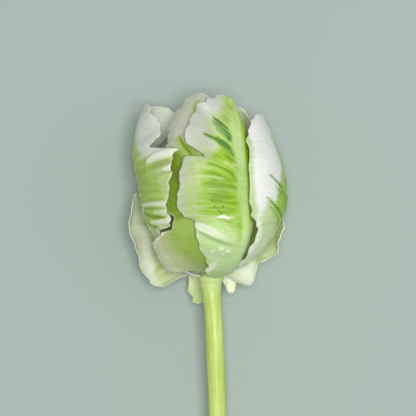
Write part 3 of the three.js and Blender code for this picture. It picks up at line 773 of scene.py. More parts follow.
def build_petal_paint():
    """Colour of a petal from its masks, broken up along the streaks."""
    colors = [("White", 0.85), ("Pale", 0.6), ("Green", 0.5), ("Deep", 0.3), ("Mint", 0.6), ("Plume", 0.2)]
    colors += [("Cream", 0.9), ("Shade", 0.5), ("Margin", 0.8), ("Rim", 0.4)]
    inputs = [(name, "Color", (value, value, value, 1)) for name, value in colors]
    inputs += [(name.title() + " mask", "Float", 0.0) for name in MASKS]
    numbers = [("Edge distance", 9.0), ("Margin width", 1.5), ("Margin strength", 0.3), ("Rim strength", 0.4)]
    numbers += [("Feather", 1.0), ("Streak", 0.5), ("Cloud", 0.5)]
    inputs += [(name, "Float", value) for name, value in numbers]
    tree, given, result = start_group(PETAL_PAINT, inputs, [("Color", "Color"), ("Roughness", "Float")])
    if tree is None:
        return
    centred = compute(tree, "SUBTRACT", given["Streak"], 0.5)
    wave = compute(tree, "MULTIPLY", centred, given["Feather"])

    def along_streaks(mask):
        factor = compute(tree, "ADD", compute(tree, "MULTIPLY", wave, STREAK_DEPTHS[mask]), 1.0)
        return compute(tree, "MULTIPLY", given[mask + " mask"], factor)

    amount = compute(tree, "ADD", along_streaks("Green"), along_streaks("Streak"))
    color = given["White"]
    for name, low, high in GREEN_RAMP:
        color = blend_colors(tree, remap(tree, amount, low, high), color, given[name])
    for name in ("Mint", "Plume"):
        color = blend_colors(tree, along_streaks(name), color, given[name])
    spread = compute(tree, "DIVIDE", given["Edge distance"], given["Margin width"])
    margin = compute(tree, "MULTIPLY", remap(tree, spread, 0.0, 1.0, 1.0, 0.0), given["Margin strength"])
    color = blend_colors(tree, margin, color, given["Margin"])
    color = blend_colors(tree, given["Cream mask"], color, given["Cream"])
    shaded = blend_colors(tree, 1.0, color, given["Shade"], "MULTIPLY")
    color = blend_colors(tree, given["Shade mask"], color, shaded)
    tone = remap(tree, given["Cloud"], *CLOUD_RANGE, *CLOUD_TONES)
    fine = remap(tree, given["Streak"], 0.0, 1.0, *STREAK_TONES)
    both = compute(tree, "MULTIPLY", tone, fine)
    toned = add_node(tree, "ShaderNodeVectorMath", {0: color, "Scale": both}, operation="SCALE").outputs[0]
    rim = remap(tree, given["Edge distance"], *RIM_BAND, given["Rim strength"], 0.0)
    tree.links.new(blend_colors(tree, rim, toned, given["Rim"]), result["Color"])
    tree.links.new(remap(tree, given["Streak"], 0.0, 1.0, *PETAL_ROUGHNESS), result["Roughness"])


def build_plant_skin():
    """Height of the fine cells and lines of fresh plant skin."""
    inputs = [("Position", "Vector", None), ("Cells", "Float", 3000.0), ("Dimples", "Float", 500.0)]
    tree, given, result = start_group(PLANT_SKIN, inputs, [("Height", "Float"), ("Cloud", "Float")])
    if tree is None:
        return
    cells = noise(tree, given["Position"], given["Cells"], NOISE_DETAIL)
    dimples = noise(tree, given["Position"], given["Dimples"], NOISE_DETAIL)
    weighted = compute(tree, "MULTIPLY", cells, CELL_SHARE)
    tree.links.new(compute(tree, "ADD", weighted, dimples), result["Height"])
    tree.links.new(noise(tree, given["Position"], CLOUD_SCALE, NOISE_DETAIL), result["Cloud"])


TISSUE_IOR = 1.42
TISSUE_SCATTER = (0.5, 0.8, 0.3)  # how far red, green and blue light travels in tissue, against each other


def start_material(name, subsurface, depth):
    """A material with its Principled shader set up for soft plant tissue; light travels depth into it."""
    material = bpy.data.materials.new(name)
    material.use_nodes = True
    tree = material.node_tree
    shader = tree.nodes["Principled BSDF"]
    shader.inputs["IOR"].default_value = TISSUE_IOR
    shader.inputs["Subsurface Weight"].default_value = subsurface
    shader.inputs["Subsurface Radius"].default_value = TISSUE_SCATTER
    shader.inputs["Subsurface Scale"].default_value = depth
    position = add_node(tree, "ShaderNodeTexCoord").outputs["Object"]
    return material, tree, shader, position


def add_bump(tree, shader, height, strength, depth):
    """Fine relief on a shader."""
    inputs = {"Height": height, "Strength": strength, "Distance": depth}
    tree.links.new(add_node(tree, "ShaderNodeBump", inputs).outputs["Normal"], shader.inputs["Normal"])


# ---- Settings ----
def color_setting(name, description, color):
    """A colour that the user can change."""
    return FloatVectorProperty(
        name=name, description=description, subtype="COLOR", size=3, default=color, min=0, max=1,
    )


def length_setting(name, description, millimetres):
    """A length of up to 10 mm that the user can change."""
    return FloatProperty(
        name=name, description=description, default=millimetres * MM, min=0, max=10 * MM, unit="LENGTH",
        precision=5,
    )


class TulipPetalSettings(bpy.types.PropertyGroup):
    """Sizes and colours of the petals."""

    thickness: length_setting("Thickness", "Thickness of a petal away from its margin", 0.55)
    edge_round: length_setting("Edge rounding", "Width of the rounded edge along the margin", 0.35)
    margin_curl: length_setting("Margin curl", "Height of the small waves along the margin", 0.3)
    margin_teeth: length_setting("Margin teeth", "Depth of the small teeth of the margin", 0.09)
    vein_height: length_setting("Vein height", "Height of the ribs along the veins", 0.045)
    white: color_setting("White", "Ground colour of the petals", srgb(206, 211, 196))
    pale: color_setting("Pale green", "Where the white turns green", srgb(190, 208, 142))
    green: color_setting("Green", "Yellow green of the flames' body", srgb(154, 190, 68))
    deep: color_setting("Deep green", "Darkest green of the flames", srgb(112, 152, 24))
    mint: color_setting("Mint", "Pale green of the midrib and the base", srgb(188, 218, 146))
    plume: color_setting("Plume", "Blue green of the darkest feathers", srgb(84, 142, 70))
    # cream is partly the real cream of blisters and rolled margins and partly a painted highlight on crests
    cream: color_setting("Cream", "Ridges and blisters", srgb(236, 240, 222))
    shade: color_setting("Shade", "What hollows are darkened with", srgb(178, 184, 140))
    margin: color_setting("Margin", "Band along the margins", srgb(222, 224, 214))
    rim: color_setting("Rim", "Thin line along the margins", srgb(198, 190, 178))


class TulipStemSettings(bpy.types.PropertyGroup):
    """Sizes and colours of the stem."""

    radius: length_setting("Radius", "Radius of the stem", 3.5)
    skin: color_setting("Skin", "Yellow green of the stem", srgb(184, 204, 100))
    pale: color_setting("Pale skin", "Paler lines along the stem", srgb(200, 217, 128))
    pith: color_setting("Pith", "Middle of the cut end", srgb(222, 230, 190))
    joint: color_setting("Joint", "Top of the stem, under the petals", srgb(196, 217, 146))


class TulipInnerSettings(bpy.types.PropertyGroup):
    """Colours of the parts inside the bloom."""

    ovary: color_setting("Ovary", "Pale green of the ovary", srgb(185, 200, 122))
    stigma: color_setting("Stigma", "Cream of the stigma", srgb(232, 224, 176))
    stalk: color_setting("Stalk", "Pale green of the stamens' stalks", srgb(206, 214, 160))
    anther: color_setting("Anther", "Dark violet of the anthers", srgb(74, 63, 82))
    pollen: color_setting("Pollen", "Pollen on the anthers", srgb(120, 98, 92))


class TulipStageSettings(bpy.types.PropertyGroup):
    """Floor, light and camera."""

    floor: color_setting("Floor", "Colour of the floor", srgb(163, 177, 170))
    floor_size: FloatProperty(
        name="Floor size", description="Side of the floor", default=6, min=1, unit="LENGTH",
    )
    sky: FloatProperty(name="Sky", description="Strength of the light from all sides", default=0.26, min=0)
    front: FloatProperty(
        name="Front light", description="Power of the light over the bloom", default=24, min=0, unit="POWER",
    )
    key: FloatProperty(
        name="Key light", description="Power of the light from the right", default=1.5, min=0, unit="POWER",
    )
    distance: FloatProperty(
        name="Camera distance", description="From the bloom's axis to the camera", default=0.7, min=0.2,
        unit="LENGTH",
    )


# ---- Petals, mm ----
COLUMNS = 46  # on each side of the midrib
COLUMN_BIAS = 1.3  # above 1, columns lie closer together towards the margin
ROW_STEP = 0.45  # most that height changes from one row to the next
WIDTH_STEP = 0.8  # most that the half width does
FINE_ROWS = 8001  # heights at which the half width is looked at to place the rows
FINE_STATIONS = 4001  # places along the midrib at which its height is looked up
TEETH_LENGTH = 2.9
TEETH_START = 4  # half width above which the teeth grow
TEETH_SPAN = 6  # width over which they do
TIP_HALF_WIDTH = 0.5
LEAST_THICKNESS = 0.03
NORMAL_STEP = 0.02
NORMAL_T_STEP = 0.002
MARGIN_BLOCKS = 40  # parts in which the distances to the margin are worked out
RIB_SPACING = 2.6
RIB_EDGE_FADE = 3  # distance from the margin over which the ribs grow
RIB_MIDRIB_FADE = 2.5  # distance from the midrib over which they do
CURL_LENGTH = 4.4
CURL_LEAN = 0.35
CURL_REACH = 1.8  # distance from the margin over which its curl fades
VEIN_MAP_SIDE = 100
VEIN_MAP_START = (0.5, 0.1)
FLAME_MASKS = ("green", "streak", "plume")
INSIDE_SHARE = 0.2  # how much of the flames shows on a petal's inner face


def half_width(half, tip, height, teeth):
    """Half width of a blade at a height on its midrib, with the small teeth of its margin."""
    heights, widths = np.array(half["outline"], float).T
    k = np.clip(np.searchsorted(heights, height, side="right") - 1, 0, len(heights) - 2)
    share = ease((height - heights[k]) / (heights[k + 1] - heights[k]))
    width = widths[k] + (widths[k + 1] - widths[k]) * share
    above = np.clip((height - heights[-1]) / (tip - heights[-1]), 0, 1)
    width = np.where(height > heights[-1], widths[-1] * np.sqrt(1 - above * above), width)
    room = ease((width - TEETH_START) / TEETH_SPAN)
    return np.maximum(width + teeth * room * ripple(height, TEETH_LENGTH, widths[1]), TIP_HALF_WIDTH)


def blade_point(petal, t, side, d, width):
    """Points on a blade's middle surface: t from claw to tip, d out from the midrib on side -1 or +1."""
    half = petal["left"] if side < 0 else petal["right"]
    share = ease(d / along(half.get("reach", [FULL_REACH, FULL_REACH]), t))
    height = along(petal["height"], t)
    rib = along(petal["radius"], t)
    lift = along(half["lift"], t) * share
    fold = ease(d / FOLD_START)
    rim = 1 - ease((width - d) / RIM)
    radius = rib + lift
    for swell, wave, phase, lean in half.get("ruffles", []):
        crest = 0.5 + 0.5 * np.sin(2 * math.pi * (height + lean * d) / wave + phase)
        radius = radius + swell * rim * fold * crest
    for base, lean, spread, swell in half.get("pleats", []):
        radius = radius + swell * fold * np.exp(-(((height - base - lean * d) / spread) ** 2))
    turn = side * d * half.get("spread", 1) / (rib + lift / 2)
    azimuth = np.radians(along(petal["azimuth"], t)) + turn
    z = height + along(half["climb"], t) * share
    return np.stack([radius * np.sin(azimuth), -radius * np.cos(azimuth), z], -1)


def blade_normal(petal, t, side, d, width):
    """Outward normals of a blade's middle surface."""
    near = np.maximum(d - NORMAL_STEP, 0)
    low = np.maximum(t - NORMAL_T_STEP, 0)
    high = np.minimum(t + NORMAL_T_STEP, 1)
    across = blade_point(petal, t, side, d + NORMAL_STEP, width) - blade_point(petal, t, side, near, width)
    upward = blade_point(petal, high, side, d, width) - blade_point(petal, low, side, d, width)
    normal = np.cross(across * side, upward)
    return normal / np.linalg.norm(normal, axis=-1, keepdims=True)


def row_heights(petal, teeth):
    """Heights of a blade's rows, closer together where its width changes fast."""
    fine = np.linspace(petal["height"][0], petal["height"][-1], FINE_ROWS)
    cost = np.diff(fine) / ROW_STEP
    widths = [half_width(petal[side], fine[-1], fine, teeth) for side in ("left", "right")]
    cost += np.maximum(*(np.abs(np.diff(width)) for width in widths)) / WIDTH_STEP
    total = np.concatenate([[0], np.cumsum(cost)])
    return np.interp(np.linspace(0, total[-1], math.ceil(total[-1]) + 1), total, fine)


def heights_to_t(petal, heights):
    """Parameter t at which the midrib reaches each height."""
    t = np.linspace(0, 1, FINE_STATIONS)
    return np.interp(heights, along(petal["height"], t), t)


def distance_to_margin(points):
    """Distance of each point of a blade's grid from the blade's own margin."""
    margin = np.concatenate([points[:, 0], points[:, -1], points[-1]])
    flat = points.reshape(-1, 3)
    found = []
    for block in np.array_split(flat, MARGIN_BLOCKS):
        gap = ((block[:, None] - margin[None]) ** 2).sum(-1)
        found.append(np.sqrt(gap.min(1)))
    return np.concatenate(found).reshape(points.shape[:2])


LEAST_RUN = 1e-9  # keeps a mark that is a single spot from being divided by nothing


def stroke(height, across, mark):
    """Strength of a soft mark at each point of a blade."""
    strength, softness, spine = mark
    best = np.full(np.shape(height), -np.inf)
    ends = spine if len(spine) > 1 else [spine[0], spine[0]]
    for (h0, a0, w0), (h1, a1, w1) in zip(ends, ends[1:]):
        run_up, run_across = h1 - h0, a1 - a0
        run = max(run_up**2 + run_across**2, LEAST_RUN)
        share = np.clip(((height - h0) * run_up + (across - a0) * run_across) / run, 0, 1)
        away = np.hypot(height - h0 - share * run_up, across - a0 - share * run_across)
        best = np.maximum(best, w0 + (w1 - w0) * share - away)
    return strength * ease((best + softness) / softness)


def vein_coordinate(petal, height, across):
    """Height at which the vein through each point leaves the midrib."""
    low, high = petal["veins"]
    climb = low + (high - low) * ease((height - VEIN_CHANGE_START) / VEIN_CHANGE_SPAN)
    return height - climb * (1 - np.exp(-np.abs(across) / VEIN_BEND))


def shape_blade(name, settings):
    """Grids of a blade: middle surface, normals, height, distance across, and distance to the margin."""
    petal = PETALS[name]
    teeth = settings.margin_teeth / MM * petal.get("frill", 1)
    heights = row_heights(petal, teeth)
    t = heights_to_t(petal, heights)
    shares = 1 - (1 - np.linspace(0, 1, COLUMNS + 1)) ** COLUMN_BIAS
    middle, normal, across = [], [], []
    for side, half in ((-1, petal["left"]), (1, petal["right"])):
        width = half_width(half, heights[-1], heights, teeth)
        for share in shares[::-1] if side < 0 else shares[1:]:
            middle.append(blade_point(petal, t, side, share * width, width))
            normal.append(blade_normal(petal, t, side, share * width, width))
            across.append(side * share * width)
    middle, normal = np.stack(middle, 1), np.stack(normal, 1)
    across = np.stack(across, 1)
    height = np.broadcast_to(heights[:, None], across.shape)
    return middle, normal, height, across, distance_to_margin(middle)


def petal_relief(name, settings, height, across, edge):
    """How far a petal's folds, ribs and curled margin stand out of its blade."""
    phase = PETALS[name]["radius"][3]
    relief = np.zeros(height.shape)
    for mark in RELIEF.get(name, []):
        relief = relief + stroke(height, across, mark)
    vein = vein_coordinate(PETALS[name], height, across)
    clear = ease(edge / RIB_EDGE_FADE) * ease(np.abs(across) / RIB_MIDRIB_FADE)
    relief = relief + settings.vein_height / MM * ripple(vein, RIB_SPACING, phase) * clear
    curl = settings.margin_curl / MM * PETALS[name].get("frill", 1)
    slanted = height + CURL_LEAN * np.abs(across)
    return relief + curl * ripple(slanted, CURL_LENGTH, phase) * np.exp(-edge / CURL_REACH)


def border_faces(rows, columns):
    """Quads that join a blade's outer face to its inner one all the way round."""
    count = rows * columns
    top = count - columns
    border = [(i * columns, (i + 1) * columns) for i in range(rows - 1)]
    border += [((i + 2) * columns - 1, (i + 1) * columns - 1) for i in range(rows - 1)]
    border += [(j + 1, j) for j in range(columns - 1)]
    border += [(top + j, top + j + 1) for j in range(columns - 1)]
    return [(a, b, b + count, a + count) for a, b in border]


def petal_attributes(name, height, across, edge):
    """Masks of a petal's colours, for its outer face and then its inner one."""
    attributes = {}
    for mask in MASKS:
        values = paint(name, mask, height, across).ravel()
        share = INSIDE_SHARE if mask in FLAME_MASKS else 1
        attributes[mask] = np.concatenate([values, share * values])
    attributes["edge"] = np.tile(edge.ravel(), 2)
    attributes["inside"] = np.repeat([0, 1], edge.size)
    return attributes


def vein_map(name, height, across):
    """Map on which the veins run level, for the outer face and then the inner one."""
    u = across / VEIN_MAP_SIDE + VEIN_MAP_START[0]
    v = vein_coordinate(PETALS[name], height, across) / VEIN_MAP_SIDE + VEIN_MAP_START[1]
    return np.tile(np.stack([u, v], -1).reshape(-1, 2), (2, 1))


def make_petal(name, settings, material):
    """One petal: a thin blade with ribs, curled margin, folds and markings."""
    middle, normal, height, across, edge = shape_blade(name, settings)
    middle = middle + petal_relief(name, settings, height, across, edge)[..., None] * normal
    rounding = 1 - np.clip(edge / (settings.edge_round / MM), 0, 1)
    thickness = np.maximum(settings.thickness / MM * np.sqrt(1 - rounding**2), LEAST_THICKNESS)
    half = thickness[..., None] / 2 * normal
    outer = press_on_table(middle + half, 0)
    inner = press_on_table(middle - half, thickness)
    points = to_frame(np.concatenate([outer.reshape(-1, 3), inner.reshape(-1, 3)]))
    rows, columns = height.shape
    faces = grid_faces(rows, columns)
    faces += grid_faces(rows, columns, first=rows * columns, flip=True)
    faces += border_faces(rows, columns)
    attributes = petal_attributes(name, height, across, edge)
    veins = vein_map(name, height, across)
    piece = make_mesh(name + "_blade", points, faces, material, attributes, veins)
    stand_in(piece, name)


def paint(name, mask, height, across):
    """Strength of one of a petal's markings at each point."""
    made = np.zeros(height.shape)
    for mark in MARKS[name].get(mask, []):
        made = np.maximum(made, stroke(height, across, mark))
    return made


PAINT_COLORS = ("pale", "green", "deep", "mint", "plume", "cream", "shade", "margin", "rim")
PAINT_NUMBERS = ("Feather", "Margin width", "Margin strength", "Rim strength")
RIDGE_SHARE = 1.6  # height of the vein ridges against that of the skin's cells


def petal_material(name, settings, changes):
    """Satin petal: colours follow the masks and the veins."""
    material, tree, shader, position = start_material(name, subsurface=0.5, depth=1 * MM)
    veins = add_node(tree, "ShaderNodeUVMap", uv_map=VEIN_MAP).outputs["UV"]
    streaks = use_group(tree, VEIN_STREAKS, {"Veins": veins})
    skin = use_group(tree, PLANT_SKIN, {"Position": position})
    inputs = {key.title(): opaque(changes.get(key, getattr(settings, key))) for key in PAINT_COLORS}
    white = opaque(changes.get("white", settings.white))
    inside = opaque(changes.get("inside", settings.white))
    inputs["White"] = blend_colors(tree, attribute(tree, "inside"), white, inside)
    inputs.update({key.title() + " mask": attribute(tree, key) for key in MASKS})
    inputs["Edge distance"] = attribute(tree, "edge")
    inputs["Streak"] = streaks["Streak"]
    inputs["Cloud"] = skin["Cloud"]
    inputs.update({key: changes[key] for key in PAINT_NUMBERS if key in changes})
    painted = use_group(tree, PETAL_PAINT, inputs)
    tree.links.new(painted["Color"], shader.inputs["Base Color"])
    tree.links.new(painted["Roughness"], shader.inputs["Roughness"])
    ridges = compute(tree, "MULTIPLY", streaks["Ridge"], RIDGE_SHARE)
    relief = compute(tree, "ADD", ridges, skin["Height"])
    add_bump(tree, shader, relief, strength=0.35, depth=0.06 * MM)
    return material


# Colours and numbers in which a petal differs from the settings; inside is the white of its inner face.
# The whites are partly painted light and shade: lightest on the right petal, where the key light falls,
# greyer on the front and front-left petals, away from it, and lighter on the back petals' inner faces to
# make up for the shade inside the bloom; the front-left's greyer mint is painted shade where it turns under.
PETAL_TINTS_AND_PAINTED_LIGHT = {
    "petal_front": {
        "white": srgb(210, 214, 203), "pale": srgb(188, 209, 132), "green": srgb(154, 194, 50),
        "deep": srgb(124, 162, 12), "plume": srgb(80, 134, 58), "shade": srgb(186, 194, 172),
        "Margin width": 1.2, "Margin strength": 0.05, "Rim strength": 0.35,
    },
    "petal_right": {
        "white": srgb(238, 243, 236), "mint": srgb(212, 230, 174), "green": srgb(162, 204, 68),
        "plume": srgb(98, 152, 14), "Feather": 0.5,
    },
    "petal_back_right": {
        "white": srgb(226, 232, 206), "mint": srgb(228, 246, 186), "inside": srgb(244, 248, 222),
        "cream": srgb(206, 228, 124), "shade": srgb(206, 200, 160),
        # cream here is yellow-green: it is also the painted shade colour of the crevice mark on the inner
        # face
        "Margin width": 2, "Margin strength": 0.3, "Rim strength": 0.15,
    },
    "petal_back_left": {
        "inside": srgb(230, 232, 216), "mint": srgb(174, 196, 110), "rim": srgb(172, 166, 156),
        "Margin width": 3.4, "Margin strength": 0.12, "Rim strength": 0.3, "Feather": 0.5,
    },
    "petal_left": {
        "white": srgb(222, 226, 216), "pale": srgb(198, 214, 150), "green": srgb(168, 200, 96),
        "deep": srgb(130, 168, 52), "inside": srgb(220, 224, 208), "Margin width": 1.5, "Feather": 0.6,
    },
    "petal_front_left": {
        "white": srgb(200, 204, 184), "pale": srgb(184, 200, 132), "green": srgb(152, 182, 78),
        "deep": srgb(122, 152, 22), "mint": srgb(180, 192, 136), "shade": srgb(186, 196, 130),
        "Feather": 0.12,
    },
}


class TULIP_OT_petals(bpy.types.Operator):
    """Make the six petals with their cut margins, folds and green flames"""

    bl_idname = "tulip.make_petals"
    bl_label = "Petals"

    def execute(self, context):
        settings = context.scene.tulip_petals
        build_vein_streaks()
        build_petal_paint()
        build_plant_skin()
        for name in PETALS:
            make_petal(name, settings, petal_material(name, settings, PETAL_TINTS_AND_PAINTED_LIGHT[name]))
        return {"FINISHED"}


# ---- Rods: stem, pistil and stamens ----
def make_rod(route, profile, sides, spacing, shape):
    """Points, faces and distances of a closed round body along a route; shape gives the radius."""
    centres, tangents, distances = smooth_route(route, spacing)
    radii = profile(distances)
    sideways = np.cross([0, 1, 0], tangents)
    sideways /= np.linalg.norm(sideways, axis=1, keepdims=True)
    forward = np.cross(tangents, sideways)
    angle = np.arange(sides) * 2 * math.pi / sides
    radius = shape(angle[None], distances[:, None], radii[:, None])
    ring = np.cos(angle)[:, None] * sideways[:, None] + np.sin(angle)[:, None] * forward[:, None]
    points = centres[:, None] + radius[..., None] * ring
    rows = len(distances)
    flat = np.concatenate([points.reshape(-1, 3), centres[:1], centres[-1:]])
    faces = grid_faces(rows, sides, wrap=True)
    start, end = rows * sides, rows * sides + 1  # the middles of the two ends
    last = (rows - 1) * sides
    faces += [(start, (j + 1) % sides, j) for j in range(sides)]
    faces += [(end, last + j, last + (j + 1) % sides) for j in range(sides)]
    down = np.concatenate([np.repeat(distances, sides), distances[:1], distances[-1:]])
    return press_on_table(flat, 0), faces, down


def smooth_profile(rings):
    """Radius at a distance, through rings of (distance, radius), with rounded corners."""
    distances, radii = np.array(rings, float).T

    def radius_at(distance):
        k = np.clip(np.searchsorted(distances, distance, side="right") - 1, 0, len(distances) - 2)
        share = ease((distance - distances[k]) / (distances[k + 1] - distances[k]))
        return radii[k] + (radii[k + 1] - radii[k]) * share

    return radius_at


STEM_ROUTE = [
    (0, 0, STEM_TOP_HEIGHT), (0, 0, -4), (0.8, 0, -14), (1.9, 0.2, -35), (2.7, 0.9, -60), (3.2, 2.3, -92),
    (3, 4.9, -132), (2.2, 8.85, -176),
]
RECEPTACLE_RINGS = [(0, 3.7), (0.3, 4), (1.9, 4), (2.3, 5.2), (3.3, 5.2), (5.5, 4.3), (9, 3.8)]
STEM_JOIN = 15  # distance down at which the receptacle has become the stem
STEM_FADE = 10
STEM_SIDES = 64
STEM_SPACING = 0.6
STEM_LINE_HEIGHT = 0.02
STEM_LINES = ((17, 0.05), (29, -0.04))  # lines round the stem, and their twist along it
STEM_SWAY = 0.04  # share by which the stem is out of round
STEM_SWAY_LENGTH = 21
CUT_BEVEL = 0.3


def make_stem(settings, material):
    """Stem with the receptacle at its top and the cut at its end."""
    radius = settings.radius / MM
    end = smooth_route(STEM_ROUTE, 1)[2][-1]
    rings = [*RECEPTACLE_RINGS, (STEM_JOIN, radius), (end - CUT_BEVEL, radius), (end, radius - CUT_BEVEL)]

    def shape(angle, distance, ring):
        waves = sum(np.sin(count * angle + twist * distance) for count, twist in STEM_LINES)
        body = ease((distance - STEM_JOIN) / STEM_FADE)
        round_out = STEM_SWAY * np.sin(2 * angle + distance / STEM_SWAY_LENGTH)
        sway = round_out * body * ease((end - distance) / STEM_FADE)
        return ring * (1 + sway) + STEM_LINE_HEIGHT * waves * body

    profile = smooth_profile(rings)
    points, faces, distance = make_rod(STEM_ROUTE, profile, STEM_SIDES, STEM_SPACING, shape)
    cut = np.zeros(len(points))
    cut[-1] = 1
    attributes = {"cut": cut, "down": distance}
    piece = make_mesh("stem_skin", to_frame(points), faces, material, attributes)
    stand_in(piece, "stem")


LINE_STRETCH = (900.0, 25.0, 900.0)
LINE_RANGE = (0.35, 0.7)
JOINT_BAND = (5.0, 12.0)  # distances down over which the colour of the joint fades, mm
JOINT_SHARE = 0.75
STEM_ROUGHNESS = (0.36, 0.5)


def stem_material(settings):
    """Waxy stem with pale lines along it."""
    material, tree, shader, position = start_material("stem", subsurface=0.3, depth=1.2 * MM)
    skin = use_group(tree, PLANT_SKIN, {"Position": position, "Cells": 2200.0, "Dimples": 300.0})
    soft = noise(tree, stretch(tree, position, LINE_STRETCH), 1.0, NOISE_DETAIL)
    lines = remap(tree, soft, *LINE_RANGE)
    color = blend_colors(tree, lines, opaque(settings.skin), opaque(settings.pale))
    joint = remap(tree, attribute(tree, "down"), *JOINT_BAND, JOINT_SHARE, 0.0)
    color = blend_colors(tree, joint, color, opaque(settings.joint))
    color = blend_colors(tree, attribute(tree, "cut"), color, opaque(settings.pith))
    tree.links.new(color, shader.inputs["Base Color"])
    roughness = remap(tree, skin["Cloud"], *NOISE_RANGE, *STEM_ROUGHNESS)
    tree.links.new(roughness, shader.inputs["Roughness"])
    relief = compute(tree, "ADD", lines, skin["Height"])
    add_bump(tree, shader, relief, strength=0.4, depth=0.05 * MM)
    return material


class TULIP_OT_stem(bpy.types.Operator):
    """Make the stem with its receptacle and its cut end"""

    bl_idname = "tulip.make_stem"
    bl_label = "Stem"

    def execute(self, context):
        settings = context.scene.tulip_stem
        build_plant_skin()
        make_stem(settings, stem_material(settings))
        return {"FINISHED"}


PISTIL_ROUTE = [(0, 0, 3), (0, 0, 26.2)]
PISTIL_RINGS = [
    (0, 1.5), (0.6, 1.9), (4, 2.5), (10, 2.7), (16, 2.3), (18.5, 1.9), (19.6, 2.6), (21, 3.6), (22.5, 3.4),
    (23.2, 2.2),
]
PISTIL_SIDES = 96
PISTIL_SPACING = 0.2
OVARY_FLUTES = 0.08  # share by which the ovary is out of round
STIGMA_LOBES = 0.18  # what the lobes of the stigma add to it
STIGMA_START = 18.5
STIGMA_COLOR_START = 18
STIGMA_SPAN = 1.5
FUR_HEIGHT = 0.05
STIGMA_LOBE_COUNT = 3
FUR_TURNS = (31, 9)  # round the stigma, and along it

STAMEN_COUNT = 6
STAMEN_SIDES = 28
STAMEN_SPACING = 0.25
STAMEN_ROUTE = [(2.95, 0, 3), (3.6, 0, 8.5), (5, 0, 14.5), (6, 0, 27)]
STAMEN_RINGS = [
    (0, 0.5), (5, 0.5), (10, 0.45), (10.8, 0.9), (12.2, 1.25), (16, 1.3), (20, 1.2), (22.6, 0.8), (23.6, 0.3),
]
ANTHER_START = 10.5
ANTHER_SPAN = 1.5
ANTHER_COLOR_SPAN = 1.2
ANTHER_SEAM = 0.2  # share by which an anther is out of round
GRAIN_HEIGHT = 0.03
GRAIN_TURNS = (11, 5, 7)  # round the anther, leaning along it, and along it


def make_pistil(material):
    """Ovary with three flutes, and its three-lobed stigma."""

    def shape(angle, distance, ring):
        stigma = ease((distance - STIGMA_START) / STIGMA_SPAN)
        lobes = (OVARY_FLUTES + STIGMA_LOBES * stigma) * np.cos(STIGMA_LOBE_COUNT * angle)
        fur = FUR_HEIGHT * stigma * np.sin(FUR_TURNS[0] * angle) * np.sin(FUR_TURNS[1] * distance)
        return ring * (1 + lobes) + fur

    profile = smooth_profile(PISTIL_RINGS)
    points, faces, distance = make_rod(PISTIL_ROUTE, profile, PISTIL_SIDES, PISTIL_SPACING, shape)
    attributes = {"ripe": ease((distance - STIGMA_COLOR_START) / STIGMA_SPAN)}
    piece = make_mesh("pistil_ovary", to_frame(points), faces, material, attributes)
    stand_in(piece, "pistil")


def make_stamen(number, material):
    """Stalk with a grooved anther, turned to its place round the pistil."""

    def shape(angle, distance, ring):
        anther = ease((distance - ANTHER_START) / ANTHER_SPAN)
        around, lean, down = GRAIN_TURNS
        waves = np.sin(around * angle + lean * distance) * np.sin(down * distance)
        grain = GRAIN_HEIGHT * anther * waves
        return ring * (1 + ANTHER_SEAM * anther * np.cos(2 * angle)) + grain

    profile = smooth_profile(STAMEN_RINGS)
    points, faces, distance = make_rod(STAMEN_ROUTE, profile, STAMEN_SIDES, STAMEN_SPACING, shape)
    turn = 2 * math.pi * number / STAMEN_COUNT
    x = points[:, 0] * math.cos(turn) - points[:, 1] * math.sin(turn)
    y = points[:, 0] * math.sin(turn) + points[:, 1] * math.cos(turn)
    turned = np.stack([x, y, points[:, 2]], -1)
    attributes = {"ripe": ease((distance - ANTHER_START) / ANTHER_COLOR_SPAN)}
    name = f"stamen_{number + 1}"
    piece = make_mesh(name + "_anther", to_frame(turned), faces, material, attributes)
    stand_in(piece, name)


GRAIN_RANGE = (0.5, 0.95)
RIPE_ROUGHNESS = 0.85


def inner_material(name, base, ripe, grain, roughness):
    """Pale tissue that turns into a matt, grainy tip."""
    material, tree, shader, position = start_material(name, subsurface=0.2, depth=0.6 * MM)
    skin = use_group(tree, PLANT_SKIN, {"Position": position, "Cells": 5000.0, "Dimples": 1500.0})
    tip = blend_colors(tree, remap(tree, skin["Height"], *GRAIN_RANGE), opaque(ripe), opaque(grain))
    color = blend_colors(tree, attribute(tree, "ripe"), opaque(base), tip)
    tree.links.new(color, shader.inputs["Base Color"])
    matt = remap(tree, attribute(tree, "ripe"), 0.0, 1.0, roughness, RIPE_ROUGHNESS)
    tree.links.new(matt, shader.inputs["Roughness"])
    add_bump(tree, shader, skin["Height"], strength=0.6, depth=0.08 * MM)
    return material


class TULIP_OT_pistil(bpy.types.Operator):
    """Make the ovary with its three-lobed stigma"""

    bl_idname = "tulip.make_pistil"
    bl_label = "Pistil"

    def execute(self, context):
        settings = context.scene.tulip_inner
        build_plant_skin()
        make_pistil(inner_material("pistil", settings.ovary, settings.stigma, settings.ovary, roughness=0.55))
        return {"FINISHED"}


class TULIP_OT_stamens(bpy.types.Operator):
    """Make the six stamens round the pistil"""

    bl_idname = "tulip.make_stamens"
    bl_label = "Stamens"

    def execute(self, context):
        settings = context.scene.tulip_inner
        build_plant_skin()
        material = inner_material("stamen", settings.stalk, settings.anther, settings.pollen, roughness=0.5)
        for number in range(STAMEN_COUNT):
            make_stamen(number, material)
        return {"FINISHED"}


